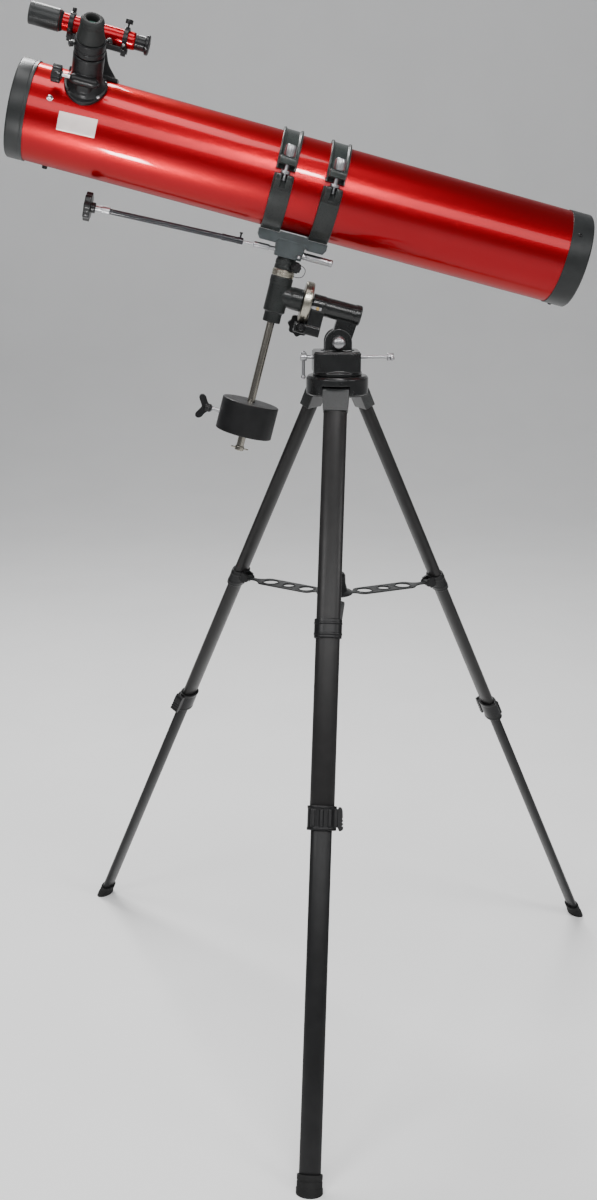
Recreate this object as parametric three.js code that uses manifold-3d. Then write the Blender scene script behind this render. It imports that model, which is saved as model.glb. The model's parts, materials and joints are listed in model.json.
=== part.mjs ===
// A reflector telescope on a German equatorial mount with a three-legged aluminium tripod.
// Millimetres, +Z up. The tube's long axis lies in the XZ plane and its open end points to -X.
// The origin is the middle of the bounding box's base, on the ground between the feet.
//
// Frames used below
//   tripod   Z is the tripod's centre line and z = 0 is the ground
//   radial   the tripod frame turned about Z, so that X runs outward over one leg
//   leg      origin on a leg's top hinge: Z runs up the leg, Y is the hinge line, X faces outward
//   axes     origin where the two mount axes cross: -X points up the polar axis, Z up the
//            declination axis, and the telescope tube is parallel to X
//   focuser  origin on the tube's centre line: Z runs out along the focuser

import * as THREE from 'three';
import { mergeVertices } from 'three/addons/utils/BufferGeometryUtils.js';
import Module from 'manifold-3d';

const wasm = await Module();
wasm.setup();

// ---- driving dimensions ----------------------------------------------------------------

const GAP = 0.3; // left between pieces that touch
const DEG = Math.PI / 180;

// tripod
const LEG_COUNT = 3;
const FIRST_LEG_AZIMUTH = -97.15; // degrees from +X, the leg nearest the viewer
const LEG_TILT = 25.65; // degrees from vertical
const HINGE_RADIUS = 37.9;
const HINGE_HEIGHT = 1054;
const HUB_RADIUS = 49;
const HUB_BOTTOM = 1048;
const HUB_TOP = 1079;
const SLOT_HALF = 21.3; // the hub's slots take the leg fittings
const UPPER_LEG = { a: 18.4, b: 8.85, wall: 1.3 }; // oval: half-width, half-depth
const LOWER_LEG = { a: 15.75, b: 7.0, wall: 1.2 };
const UPPER_LEG_TOP = 29.7; // distances run down the leg from its hinge
const UPPER_LEG_END = 655;
const CLAMP_TOP = 631.4;
const CLAMP_END = 667.4;
const COLLAR_TOP = 353.4;
const COLLAR_END = 383.4;
const LOWER_LEG_TOP = 575;
const LOWER_LEG_END = 1150;
const FOOT_TOP = 1144;

// spreader
const ARM_PIVOT_RADIUS = 176;
const ARM_HEIGHT = 720;
const ARM_TIP_RADIUS = 22;
const ARM_THICKNESS = 3;
const SPREADER_HUB_TOP = 757;

// mount head
const LATITUDE_PIVOT_HEIGHT = 1130;
const POLAR_TILT = 14.4; // degrees above horizontal
const POT_TOP = 1117;
const EAR_RADIUS = 21;
const T_BOLT_HEIGHT = 1106.8;
const POLAR_OFFSET = 46.5; // polar axis above the latitude pivot
const PIVOT_TO_CROSSING = 108.5; // back along the polar axis
const SHAFT_RADIUS = 8;
const BORE_RADIUS = 8.3;
const RA_CIRCLE_RADIUS = 31.5;
const WORM = { x: 46, z: -39.5, radius: 6.2 };

// telescope tube
const TUBE_Z = 164; // above the axes' crossing
const TUBE_RADIUS = 70;
const TUBE_WALL = 1.5;
const TUBE_FRONT = -441;
const TUBE_REAR = 436;
const RING_XS = [-36, 38];
const RING_HALF = 15;
const RING_RADIUS = 76;
const RING_BORE = 70.3;
const SADDLE_TOP = 90;
const SPLIT_LOW = 170.3; // the rings part between these two heights
const SPLIT_HIGH = 177;
const RING_HINGE = { y: 83, z: 173.6, radius: 5 };
const RING_BOLT_Y = -84;
const SPIDER_X = -385;
const FOCUSER_X = -342;
const FOCUSER_TURN = 41; // degrees from straight up, toward -Y
const FINDER_Z = 296;
const FINDER_RING_XS = [-384.3, -304.6];
const SLOW_MOTION_DROOP = 2.3; // degrees

// ---- shapes ----------------------------------------------------------------------------

const facets = (radius) => (radius > 50 ? 40 : radius > 25 ? 24 : radius > 12 ? 16 : radius > 5 ? 12 : 8);

/** A closed geometry as a solid: seam vertices joined, flat slivers dropped, faces outward. */
function solid(geometry) {
  geometry.deleteAttribute('normal');
  geometry.deleteAttribute('uv');
  const merged = mergeVertices(geometry, 1e-4);
  const points = merged.getAttribute('position').array;
  const triangles = [];
  let volume = 0;
  const at = (index) => new THREE.Vector3().fromArray(points, index * 3);
  for (let i = 0; i < merged.index.count; i += 3) {
    const [a, b, c] = [0, 1, 2].map((k) => merged.index.getX(i + k));
    if (a === b || b === c || c === a) continue;
    triangles.push([a, b, c]);
    volume += at(a).dot(at(b).cross(at(c)));
  }
  const ordered = volume < 0 ? triangles.map(([a, b, c]) => [a, c, b]) : triangles;
  return new wasm.Manifold(new wasm.Mesh({
    numProp: 3,
    vertProperties: Float32Array.from(points),
    triVerts: Uint32Array.from(ordered.flat()),
  }));
}

const X = new THREE.Vector3(1, 0, 0);
const Y = new THREE.Vector3(0, 1, 0);
const Z = new THREE.Vector3(0, 0, 1);
const FROM_Y = {
  x: new THREE.Matrix4().makeBasis(Z, X, Y),
  y: new THREE.Matrix4(),
  z: new THREE.Matrix4().makeBasis(Y, Z, X),
};
const FROM_Z = {
  x: new THREE.Matrix4().makeBasis(Y, Z, X),
  y: new THREE.Matrix4().makeBasis(X, Z, Y.clone().negate()),
  z: new THREE.Matrix4(),
};

/** The three coordinates of a point given by its place along an axis and across it, in X, Y, Z order. */
function across(axis, along, [first, second]) {
  if (axis === 'x') return [along, first, second];
  if (axis === 'y') return [first, along, second];
  return [first, second, along];
}

/** A profile of [radius, place along the axis] pairs turned about an axis. */
function turned(axis, profile, centre = [0, 0], sides = facets(Math.max(...profile.map(([r]) => r)))) {
  const geometry = new THREE.LatheGeometry(profile.map(([r, s]) => new THREE.Vector2(r, s)), sides);
  geometry.applyMatrix4(FROM_Y[axis]);
  geometry.translate(...across(axis, 0, centre));
  return solid(geometry);
}

function cylinder(axis, radius, from, to, centre = [0, 0], sides = facets(radius)) {
  return turned(axis, [[0, from], [radius, from], [radius, to], [0, to]], centre, sides);
}

function pipe(axis, outer, inner, from, to, centre = [0, 0]) {
  const profile = [[inner, from], [outer, from], [outer, to], [inner, to], [inner, from]];
  return turned(axis, profile, centre);
}

function box([x0, x1], [y0, y1], [z0, z1]) {
  const geometry = new THREE.BoxGeometry(x1 - x0, y1 - y0, z1 - z0);
  geometry.translate((x0 + x1) / 2, (y0 + y1) / 2, (z0 + z1) / 2);
  return solid(geometry);
}

/** An outline pushed along an axis. It is drawn in the other two axes, in X, Y, Z order. */
function prism(axis, outline, from, to) {
  const shape = outline instanceof THREE.Shape
    ? outline
    : new THREE.Shape(outline.map(([u, v]) => new THREE.Vector2(u, v)));
  const settings = { depth: to - from, bevelEnabled: false, curveSegments: 4 };
  const geometry = new THREE.ExtrudeGeometry(shape, settings);
  geometry.applyMatrix4(FROM_Z[axis]);
  geometry.translate(...across(axis, axis === 'y' ? to : from, [0, 0]));
  return solid(geometry);
}

function oval(a, b, count = 16) {
  const points = [];
  for (let i = 0; i < count; i += 1) {
    const angle = (2 * Math.PI * i) / count;
    points.push([b * Math.cos(angle), a * Math.sin(angle)]);
  }
  return points;
}

/** A knob's scalloped outline. */
function scallops(radius, depth, lobes) {
  const points = [];
  const steps = lobes * 3;
  for (let i = 0; i < steps; i += 1) {
    const angle = (2 * Math.PI * i) / steps;
    const reach = radius - depth * (0.5 - 0.5 * Math.cos(angle * lobes));
    points.push([reach * Math.cos(angle), reach * Math.sin(angle)]);
  }
  return points;
}

const union = (...solids) => solids.reduce((sum, next) => sum.add(next));
const cut = (body, ...tools) => tools.reduce((left, tool) => left.subtract(tool), body);

function moved(body, x, y, z) {
  return body.translate([x, y, z]);
}

function spun(body, axis, degrees) {
  return body.rotate(['x', 'y', 'z'].map((each) => (each === axis ? degrees : 0)));
}

// ---- finishes --------------------------------------------------------------------------

const FINISHES = {
  tubeRed: { color: 0xc01a1f, roughness: 0.25, metalness: 0.35 },
  blackCasting: { color: 0x2b2d2c, roughness: 0.5, metalness: 0.2 },
  greyCasting: { color: 0x464a4a, roughness: 0.5, metalness: 0.35 },
  blackPlastic: { color: 0x1b1b1c, roughness: 0.45, metalness: 0.0 },
  legPaint: { color: 0x3a3938, roughness: 0.45, metalness: 0.4 },
  chrome: { color: 0xc8c8cc, roughness: 0.15, metalness: 1.0 },
  silver: { color: 0xb9b8b0, roughness: 0.3, metalness: 0.9 },
  steel: { color: 0x8f8c84, roughness: 0.3, metalness: 0.9 },
  rubber: { color: 0x161616, roughness: 0.85, metalness: 0.0 },
  mirror: { color: 0xe8ecf0, roughness: 0.03, metalness: 1.0 },
};

function add(parent, name, body, finish) {
  const { vertProperties, triVerts } = body.getMesh();
  const geometry = new THREE.BufferGeometry();
  geometry.setAttribute('position', new THREE.BufferAttribute(vertProperties, 3));
  geometry.setIndex(new THREE.BufferAttribute(triVerts, 1));
  geometry.computeVertexNormals();
  const mesh = new THREE.Mesh(geometry, new THREE.MeshStandardMaterial(FINISHES[finish]));
  mesh.name = name;
  parent.add(mesh);
}

function frame(parent, name, position = [0, 0, 0], turnAxis = 'y', degrees = 0) {
  const group = new THREE.Group();
  group.name = name;
  group.position.set(...position);
  group.rotation[turnAxis] = degrees * DEG;
  parent.add(group);
  return group;
}

const telescope = new THREE.Group();
telescope.name = 'telescope';

// ---- tripod hub ------------------------------------------------------------------------

const legAzimuths = Array.from({ length: LEG_COUNT }, (_, i) => FIRST_LEG_AZIMUTH + (360 / LEG_COUNT) * i);

function tripodHub() {
  const chamfer = 3;
  const body = turned('z', [
    [0, HUB_BOTTOM], [HUB_RADIUS - chamfer, HUB_BOTTOM], [HUB_RADIUS, HUB_BOTTOM + chamfer],
    [HUB_RADIUS, HUB_TOP - chamfer - 1], [HUB_RADIUS - chamfer, HUB_TOP], [0, HUB_TOP],
  ]);
  const slot = union(
    box([26, HUB_RADIUS + 10], [-SLOT_HALF, SLOT_HALF], [HUB_BOTTOM - 10, HUB_TOP - 13]),
    cylinder('y', 3.4, -27.6, 27.6, [HINGE_RADIUS, HINGE_HEIGHT]),
  );
  const slots = legAzimuths.map((azimuth) => spun(slot, 'z', azimuth));
  const studHole = cylinder('z', 5.6, HUB_BOTTOM - 5, HUB_TOP + 5);
  return cut(body, ...slots, studHole);
}

add(telescope, 'tripod_hub', tripodHub(), 'blackCasting');

// ---- legs ------------------------------------------------------------------------------

function legFitting() {
  const end = -UPPER_LEG_TOP + GAP;
  const shoulders = prism('x', [[-20.8, 0], [20.8, 0], [19.2, end], [-19.2, end]], -9, 9);
  const eye = cylinder('y', 9, -20.8, 20.8);
  const inset = UPPER_LEG.wall + 0.5;
  const plug = prism('z', oval(UPPER_LEG.a - inset, UPPER_LEG.b - inset), -62, end + 1);
  const pin = cylinder('y', 3, -27, 27);
  return union(shoulders, eye, plug, pin);
}

function ovalTube({ a, b, wall }, top, end) {
  const outer = prism('z', oval(a, b), -end, -top);
  const bore = prism('z', oval(a - wall, b - wall), -end - 1, -top + 1);
  return cut(outer, bore);
}

function spreaderCollar() {
  const wrap = prism('z', oval(21.1, 12), -COLLAR_END, -COLLAR_TOP);
  const ear = union(
    box([-20.1, -9], [6.3, 10.3], [-370, -353.4]),
    cylinder('y', 5.5, 6.3, 10.3, [-20.1, -360.9]),
  );
  const ears = union(ear, ear.mirror([0, 1, 0]));
  const pin = cylinder('y', 2, -10.3, 10.3, [-20.1, -360.9]);
  const bore = prism('z', oval(UPPER_LEG.a + GAP, UPPER_LEG.b + GAP), -COLLAR_END - 1, -COLLAR_TOP + 1);
  return cut(union(wrap, ears, pin), bore);
}

function legClamp() {
  const step = -UPPER_LEG_END - GAP;
  const wrap = prism('z', oval(21.3, 12.3), -CLAMP_END, -CLAMP_TOP);
  const leverBoss = box([-6, 6], [18, 27.5], [-CLAMP_END + 5, -CLAMP_TOP - 4]);
  const lever = box([-7.5, 7.5], [24, 32], [-CLAMP_END - 1, -CLAMP_TOP - 1]);
  const wideBore = prism('z', oval(UPPER_LEG.a + GAP, UPPER_LEG.b + GAP), step, -CLAMP_TOP + 1);
  const narrowBore = prism('z', oval(LOWER_LEG.a + GAP, LOWER_LEG.b + GAP), -CLAMP_END - 1, step + 1);
  return cut(union(wrap, leverBoss, lever), wideBore, narrowBore);
}

const legLength = HINGE_HEIGHT / Math.cos(LEG_TILT * DEG);

function foot() {
  const block = prism('z', oval(18.4, 10.1), -legLength - 6, -FOOT_TOP);
  const rim = prism('z', oval(19.2, 10.9), -legLength - 6, -legLength + 8);
  const legOutline = oval(LOWER_LEG.a + GAP, LOWER_LEG.b + GAP);
  const socket = prism('z', legOutline, -LOWER_LEG_END - GAP, -FOOT_TOP + 1);
  const ground = moved(spun(box([-60, 60], [-60, 60], [-60, 0]), 'y', LEG_TILT), 0, 0, -legLength);
  return cut(union(block, rim), socket, ground);
}

/** Plan outline of a spreader arm, from the eye near the leg to the tip under the hub. */
function armOutline() {
  const half = 19;
  const shape = new THREE.Shape();
  shape.moveTo(ARM_PIVOT_RADIUS - 4, 5.8);
  shape.lineTo(160, 5.8);
  shape.quadraticCurveTo(152, 7, 147, 14);
  shape.quadraticCurveTo(143, half, 134, half);
  shape.lineTo(52, half);
  shape.quadraticCurveTo(44, half, 40, 12);
  shape.quadraticCurveTo(37, 5, 31, 5);
  shape.lineTo(ARM_TIP_RADIUS + 5, 5);
  shape.absarc(ARM_TIP_RADIUS + 5, 0, 5, Math.PI / 2, (3 * Math.PI) / 2, false);
  shape.lineTo(31, -5);
  shape.quadraticCurveTo(37, -5, 40, -12);
  shape.quadraticCurveTo(44, -half, 52, -half);
  shape.lineTo(134, -half);
  shape.quadraticCurveTo(143, -half, 147, -14);
  shape.quadraticCurveTo(152, -7, 160, -5.8);
  shape.lineTo(ARM_PIVOT_RADIUS - 4, -5.8);
  shape.closePath();
  return shape;
}

function spreaderArm() {
  const low = ARM_HEIGHT - ARM_THICKNESS / 2;
  const plate = prism('z', armOutline(), low, low + ARM_THICKNESS);
  const eye = cylinder('y', 5, -5.8, 5.8, [ARM_PIVOT_RADIUS, ARM_HEIGHT]);
  const pinHole = cylinder('y', 2.3, -8, 8, [ARM_PIVOT_RADIUS, ARM_HEIGHT]);
  const holes = [[56, 13], [92, 10], [129, 13]].map(([radius, size]) => (
    cylinder('z', size, low - 5, low + 10, [radius, 0])
  ));
  return cut(union(plate, eye), pinHole, ...holes);
}

legAzimuths.forEach((azimuth, i) => {
  const number = i + 1;
  const radial = frame(telescope, `radial_${number}`, [0, 0, 0], 'z', azimuth);
  const leg = frame(radial, `leg_${number}`, [HINGE_RADIUS, 0, HINGE_HEIGHT], 'y', -LEG_TILT);
  add(leg, `leg_fitting_${number}`, legFitting(), 'greyCasting');
  add(leg, `upper_leg_${number}`, ovalTube(UPPER_LEG, UPPER_LEG_TOP, UPPER_LEG_END), 'legPaint');
  add(leg, `spreader_collar_${number}`, spreaderCollar(), 'blackPlastic');
  add(leg, `leg_clamp_${number}`, legClamp(), 'blackPlastic');
  add(leg, `lower_leg_${number}`, ovalTube(LOWER_LEG, LOWER_LEG_TOP, LOWER_LEG_END), 'legPaint');
  add(leg, `foot_${number}`, foot(), 'rubber');
  add(radial, `spreader_arm_${number}`, spreaderArm(), 'blackCasting');
});

function spreaderHub() {
  const base = ARM_HEIGHT + ARM_THICKNESS / 2 + GAP;
  return turned('z', [
    [0, base], [30, base], [30, base + 3], [21, base + 6], [18, SPREADER_HUB_TOP - 4],
    [15, SPREADER_HUB_TOP], [0, SPREADER_HUB_TOP],
  ]);
}

add(telescope, 'spreader_hub', spreaderHub(), 'blackPlastic');

// ---- azimuth base and its bolts ----------------------------------------------------------

const head = frame(telescope, 'head', [0, 0, LATITUDE_PIVOT_HEIGHT], 'y', POLAR_TILT);
const axes = frame(head, 'axes', [-PIVOT_TO_CROSSING, 0, POLAR_OFFSET]);
const earInner = 9.3;
const earOuter = 18;

function azimuthBase() {
  const bottom = HUB_TOP + GAP;
  const flange = turned('z', [
    [0, bottom], [38.5, bottom], [38.5, bottom + 5], [33, bottom + 8], [0, bottom + 8],
  ]);
  const outline = [
    [-39, -24], [-36, -30], [-29, -33], [25, -33], [32, -30], [35, -24],
    [35, 24], [32, 30], [25, 33], [-29, 33], [-36, 30], [-39, 24],
  ];
  const pot = union(
    prism('z', outline, bottom + 6, POT_TOP - 2),
    prism('z', outline.map(([x, y]) => [x * 0.95, y * 0.94]), POT_TOP - 3, POT_TOP),
  );
  const ears = [[-earOuter, -earInner], [earInner, earOuter]].map(([from, to]) => union(
    cylinder('y', EAR_RADIUS, from, to, [0, LATITUDE_PIVOT_HEIGHT], 24),
    box([-EAR_RADIUS, EAR_RADIUS], [from, to], [POT_TOP - 8, LATITUDE_PIVOT_HEIGHT]),
  ));
  const lugSlot = box([-26, 26], [-earInner, earInner], [LATITUDE_PIVOT_HEIGHT - 22, POT_TOP + 5]);
  const pivotHole = cylinder('y', 5.3, -30, 30, [0, LATITUDE_PIVOT_HEIGHT]);
  const boltHole = cylinder('x', 3.4, -50, 50, [0, T_BOLT_HEIGHT]);
  const stud = cylinder('z', 5, HUB_BOTTOM - 18, bottom + 1);
  const wingNut = cylinder('z', 13, HUB_BOTTOM - 22, HUB_BOTTOM - 6);
  return union(cut(union(flange, pot, ...ears), lugSlot, pivotHole, boltHole), stud, wingNut);
}

function latitudePivotBolt() {
  const z = LATITUDE_PIVOT_HEIGHT;
  const shank = cylinder('y', 5, -26, 22, [0, z]);
  const dome = turned('y', [[0, -30], [5, -29.4], [9, -27], [11, -24], [11, -18.3], [0, -18.3]], [0, z]);
  const farHead = cylinder('y', 9, 18.3, 24, [0, z], 6);
  return union(shank, dome, farHead);
}

/** A T-bolt along X: its shank enters the base, and its tommy bar crosses the head. */
function tBolt(side, headAt, tip, bar) {
  const [low, high] = [side * tip, side * headAt].sort((a, b) => a - b);
  const shank = cylinder('x', 3, low, high);
  const headBlock = cylinder('x', 6.2, side * headAt - 5, side * headAt + 5);
  const barLine = cylinder(bar.axis, 2.4, bar.from + 3, bar.to - 3, [side * headAt, 0]);
  const ends = [bar.from, bar.to].map((end) => {
    const centre = end === bar.from ? end + 3.75 : end - 3.75;
    const ball = solid(new THREE.SphereGeometry(3.75, 8, 6));
    return moved(ball, ...across(bar.axis, centre, [side * headAt, 0]));
  });
  return moved(union(shank, headBlock, barLine, ...ends), 0, 0, T_BOLT_HEIGHT);
}

add(telescope, 'azimuth_base', azimuthBase(), 'blackCasting');
add(telescope, 'latitude_pivot_bolt', latitudePivotBolt(), 'chrome');
add(telescope, 'latitude_bolt_left', tBolt(-1, 53.5, 23, { axis: 'z', from: -35.8, to: 9.2 }), 'chrome');
add(telescope, 'latitude_bolt_right', tBolt(1, 83, 23, { axis: 'y', from: -30, to: 15 }), 'chrome');

// ---- polar (right ascension) housing -----------------------------------------------------

function raHousing() {
  const pivot = [PIVOT_TO_CROSSING, -POLAR_OFFSET];
  const barrel = turned('x', [
    [0, 55], [16, 55], [16, 74], [15.2, 76], [15.2, 122], [16.2, 124], [16.2, 131], [14.5, 133], [0, 133],
  ]);
  const lugOutline = [[98, -8], [130, -8], [129, -24], [127.4, -46.5], [89.6, -46.5], [97, -30]];
  const lug = union(
    prism('y', lugOutline, -earInner + GAP, earInner - GAP),
    cylinder('y', 19, -earInner + GAP, earInner - GAP, pivot, 24),
  );
  const shell = union(
    box([54, 76], [-13, 13], [-47.5, -6]),
    box([36, 76], [-15, 15], [-47.5, -33]),
  );
  const bore = cylinder('x', BORE_RADIUS, 50, 119);
  const wormBore = cylinder('y', WORM.radius + GAP, -16, 16, [WORM.x, WORM.z]);
  const pivotHole = cylinder('y', 5.3, -20, 20, pivot);
  return cut(union(barrel, lug, shell), bore, wormBore, pivotHole);
}

function raWorm() {
  const at = [WORM.x, WORM.z];
  const worm = cylinder('y', WORM.radius, -14, 14, at);
  const nearStub = turned('y', [
    [0, -26], [3, -26], [3.6, -24], [3.6, -18], [5.5, -18], [5.5, -14], [0, -14],
  ], at);
  const farShaft = cylinder('y', 4, 13, 37, at);
  const knob = moved(prism('y', scallops(18, 3, 8), 35, 50), WORM.x, 0, WORM.z);
  return union(worm, nearStub, farShaft, knob);
}

function raSettingCircle() {
  const bore = BORE_RADIUS;
  return turned('x', [
    [bore, 38.9], [29.5, 38.9], [RA_CIRCLE_RADIUS, 40.4], [RA_CIRCLE_RADIUS, 50], [29.5, 52.4],
    [bore, 52.4], [bore, 38.9],
  ]);
}

add(axes, 'ra_housing', raHousing(), 'blackCasting');
add(axes, 'ra_worm', raWorm(), 'blackPlastic');
add(axes, 'ra_setting_circle', raSettingCircle(), 'silver');

// ---- declination housing, shaft and counterweight ------------------------------------------

function decHousing() {
  const column = turned('z', [
    [0, -43], [13.75, -43], [13.75, -28], [17, -26], [17, 27.5], [0, 27.5],
  ]);
  const arm = cylinder('x', 17.3, 0, 38.6);
  const raShaft = cylinder('x', SHAFT_RADIUS, 30, 118);
  const bore = cylinder('z', BORE_RADIUS, -50, 40);
  return cut(union(column, arm, raShaft), bore);
}

function decShaft() {
  return turned('z', [
    [0, -20], [SHAFT_RADIUS, -20], [SHAFT_RADIUS, 38.2], [16, 38.2], [16, 52],
    [14.8, 53], [14.8, 55.9], [0, 55.9],
  ]);
}

function decSettingCircle() {
  const bore = BORE_RADIUS;
  return turned('z', [
    [bore, 27.8], [16.6, 27.8], [17.2, 29], [17.2, 31.5], [16.4, 32], [17.2, 32.5],
    [17.2, 36], [16.2, 37.9], [bore, 37.9], [bore, 27.8],
  ]);
}

const ROD_RADIUS = 6;
const WEIGHT_BOTTOM = -221.5;
const WEIGHT_TOP = -170.5;
const WEIGHT_SCREW_HEIGHT = -196;

function counterweightRod() {
  const rod = cylinder('z', ROD_RADIUS, -244, -20.3);
  const nut = cylinder('z', 7.2, -250, -242);
  const safetyPin = cylinder('x', 1.3, -14, 14, [0, -246]);
  return union(rod, nut, safetyPin);
}

function counterweight() {
  const bore = ROD_RADIUS + GAP;
  const body = turned('z', [
    [bore, WEIGHT_BOTTOM], [44, WEIGHT_BOTTOM], [45, WEIGHT_BOTTOM + 1], [45, WEIGHT_TOP - 1],
    [44, WEIGHT_TOP], [bore, WEIGHT_TOP], [bore, WEIGHT_BOTTOM],
  ]);
  const screwHole = cylinder('x', 4, -50, 0, [0, WEIGHT_SCREW_HEIGHT]);
  const throughBore = cylinder('z', bore, WEIGHT_BOTTOM - 1, WEIGHT_TOP + 1);
  return cut(body, screwHole, throughBore);
}

/** Clamp screw along X. Its two rounded wings lean away from the weight. */
function counterweightScrew() {
  const at = [0, WEIGHT_SCREW_HEIGHT];
  const shank = cylinder('x', 3.6, -66, -8, at);
  const neck = turned('x', [[0, -69], [6.5, -68], [6.5, -60], [4.8, -57], [0, -57]], at);
  const upper = [[-63, 6], [-70, 10], [-77, 16.5], [-82, 18], [-86, 15], [-86, 10], [-80, 5], [-74, 0]];
  const lower = upper.slice(0, -1).reverse().map(([x, z]) => [x, -z]);
  const wings = moved(prism('y', [...upper, ...lower], -3.6, 3.6), 0, 0, at[1]);
  return union(shank, neck, wings);
}

add(axes, 'dec_housing', decHousing(), 'blackCasting');
add(axes, 'dec_shaft', decShaft(), 'blackCasting');
add(axes, 'dec_setting_circle', decSettingCircle(), 'silver');
add(axes, 'counterweight_rod', counterweightRod(), 'steel');
add(axes, 'counterweight', counterweight(), 'blackCasting');
add(axes, 'counterweight_screw', counterweightScrew(), 'blackPlastic');

// ---- declination knob, saddle and slow motion ----------------------------------------------

const SLOW_AXIS = { x: -20, z: 65.1 };
const SPRING_AXIS = { z: 65, radius: 5.75 };
const DEC_LOCK_TURN = 45; // degrees from +X, toward -Y

function decLockKnob() {
  const z = 46;
  const grip = moved(prism('x', scallops(8.5, 1.6, 6), 19, 27), 0, 0, z);
  const shank = cylinder('x', 2.5, 16.5, 20, [0, z]);
  return spun(union(shank, grip), 'z', -DEC_LOCK_TURN);
}

function saddle() {
  const base = 56.2;
  const trunk = prism('y', [[-20.5, base], [20.5, base], [24, SADDLE_TOP], [-24, SADDLE_TOP]], -19, 19);
  const lip = box([-20.5, 22.5], [-20, -16], [SADDLE_TOP - 8, SADDLE_TOP + 3]);
  const pads = RING_XS.map((x) => union(
    prism('y', [
      [x - 16.5, SADDLE_TOP], [x - 16.5, SADDLE_TOP - 9], [x - 12, SADDLE_TOP - 16],
      [x + 12, SADDLE_TOP - 16], [x + 16.5, SADDLE_TOP - 9], [x + 16.5, SADDLE_TOP],
    ], -20, 20),
  ));
  const bar = box([-45, 45], [-15, 15], [SADDLE_TOP - 13, SADDLE_TOP]);
  const springBore = cylinder('x', SPRING_AXIS.radius + GAP, 8, 30, [0, SPRING_AXIS.z]);
  const rodBore = cylinder('x', 4.3, -30, -6, [0, SLOW_AXIS.z]);
  return cut(union(trunk, bar, lip, ...pads), springBore, rodBore);
}

function springBarrel() {
  const r = SPRING_AXIS.radius;
  return turned('x', [[0, 8.3], [r, 8.3], [r, 68.5], [r - 1, 69.8], [0, 69.8]], [0, SPRING_AXIS.z]);
}

const slowMotion = frame(axes, 'slow_motion', [SLOW_AXIS.x, 0, SLOW_AXIS.z], 'y', -SLOW_MOTION_DROOP);

function slowMotionRod() {
  return turned('x', [
    [0, 11], [3.3, 11], [3.3, -10], [4.5, -11], [4.5, -34], [2.6, -35], [2.6, -50], [5.2, -51], [5.2, -73],
    [4.5, -75], [4.5, -255], [5.8, -256], [5.8, -268], [5, -269], [5, -277.5], [0, -277.5],
  ]);
}

function slowMotionKnob() {
  const neck = turned('x', [[0, -277.8], [7.6, -277.8], [8, -279], [8, -287], [0, -287]]);
  const grip = prism('x', scallops(21.5, 1.6, 12), -294, -284);
  return union(neck, grip);
}

add(axes, 'dec_lock_knob', decLockKnob(), 'blackPlastic');
add(axes, 'saddle', saddle(), 'greyCasting');
add(axes, 'dec_spring_barrel', springBarrel(), 'chrome');
add(slowMotion, 'slow_motion_rod', slowMotionRod(), 'blackPlastic');
add(slowMotion, 'slow_motion_knob', slowMotionKnob(), 'blackPlastic');

// ---- tube rings ----------------------------------------------------------------------------

const FAR = 400; // reach of the boxes that trim a ring

function ringBand(x) {
  return pipe('x', RING_RADIUS, RING_BORE, x - RING_HALF, x + RING_HALF, [0, TUBE_Z]);
}

function ringLower(x) {
  const width = [x - RING_HALF, x + RING_HALF];
  const bore = cylinder('x', RING_BORE, x - 20, x + 20, [0, TUBE_Z]);
  const foot = cut(box(width, [-20, 20], [SADDLE_TOP + GAP, SADDLE_TOP + 14]), bore);
  const band = ringBand(x).intersect(box([-FAR, FAR], [-FAR, FAR], [SADDLE_TOP + GAP, SPLIT_LOW]));
  const earCorners = [[-93, 0], [-93, -9], [-86, -15], [-74, -24], [-72, 0]];
  const earOutline = earCorners.map(([y, z]) => [y, SPLIT_LOW + z]);
  const ear = prism('x', earOutline, x - 12, x + 12);
  const boltSlot = box([x - 4, x + 4], [-100, RING_BOLT_Y + 4], [SPLIT_LOW - 30, SPLIT_LOW + 1]);
  const { y, z, radius } = RING_HINGE;
  const knuckle = union(
    cylinder('x', radius, x - 14, x - 5.2, [y, z], 12),
    cylinder('x', radius, x + 5.2, x + 14, [y, z], 12),
    box([x - 14, x - 5.2], [72, y], [SPLIT_LOW - 8, SPLIT_LOW]),
    box([x + 5.2, x + 14], [72, y], [SPLIT_LOW - 8, SPLIT_LOW]),
    prism('x', [[72, SPLIT_LOW - 20], [72, SPLIT_LOW - 6], [y, SPLIT_LOW - 6]], x - 14, x + 14),
  );
  return union(cut(union(band, ear), boltSlot, bore), foot, cut(knuckle, bore));
}

function ringUpper(x) {
  const rim = 5;
  const inside = RING_HALF - rim;
  const groove = pipe('x', RING_RADIUS + 2, RING_RADIUS - 2.4, x - inside, x + inside, [0, TUBE_Z]);
  const above = box([-FAR, FAR], [-FAR, FAR], [SPLIT_HIGH, SPLIT_HIGH + FAR]);
  const band = cut(ringBand(x), groove).intersect(above);
  const low = 183.6;
  const bore = cylinder('x', RING_BORE, x - 20, x + 20, [0, TUBE_Z]);
  const earOutline = [[-93, low], [-93, low + 9], [-90, low + 11], [-60, low + 11], [-60, low]];
  const ear = cut(prism('x', earOutline, x - 12, x + 12), bore);
  const boltHole = cylinder('z', 3.4, low - 5, low + 20, [x, RING_BOLT_Y]);
  const { y, z, radius } = RING_HINGE;
  const tail = [[71, SPLIT_HIGH], [y + 3, SPLIT_HIGH], [74, SPLIT_HIGH + 14], [66, SPLIT_HIGH + 14]];
  const knuckle = cut(union(
    cylinder('x', radius, x - 4.8, x + 4.8, [y, z], 12),
    prism('x', tail, x - 4.8, x + 4.8),
  ), bore);
  return union(cut(union(band, ear), boltHole), knuckle);
}

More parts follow.
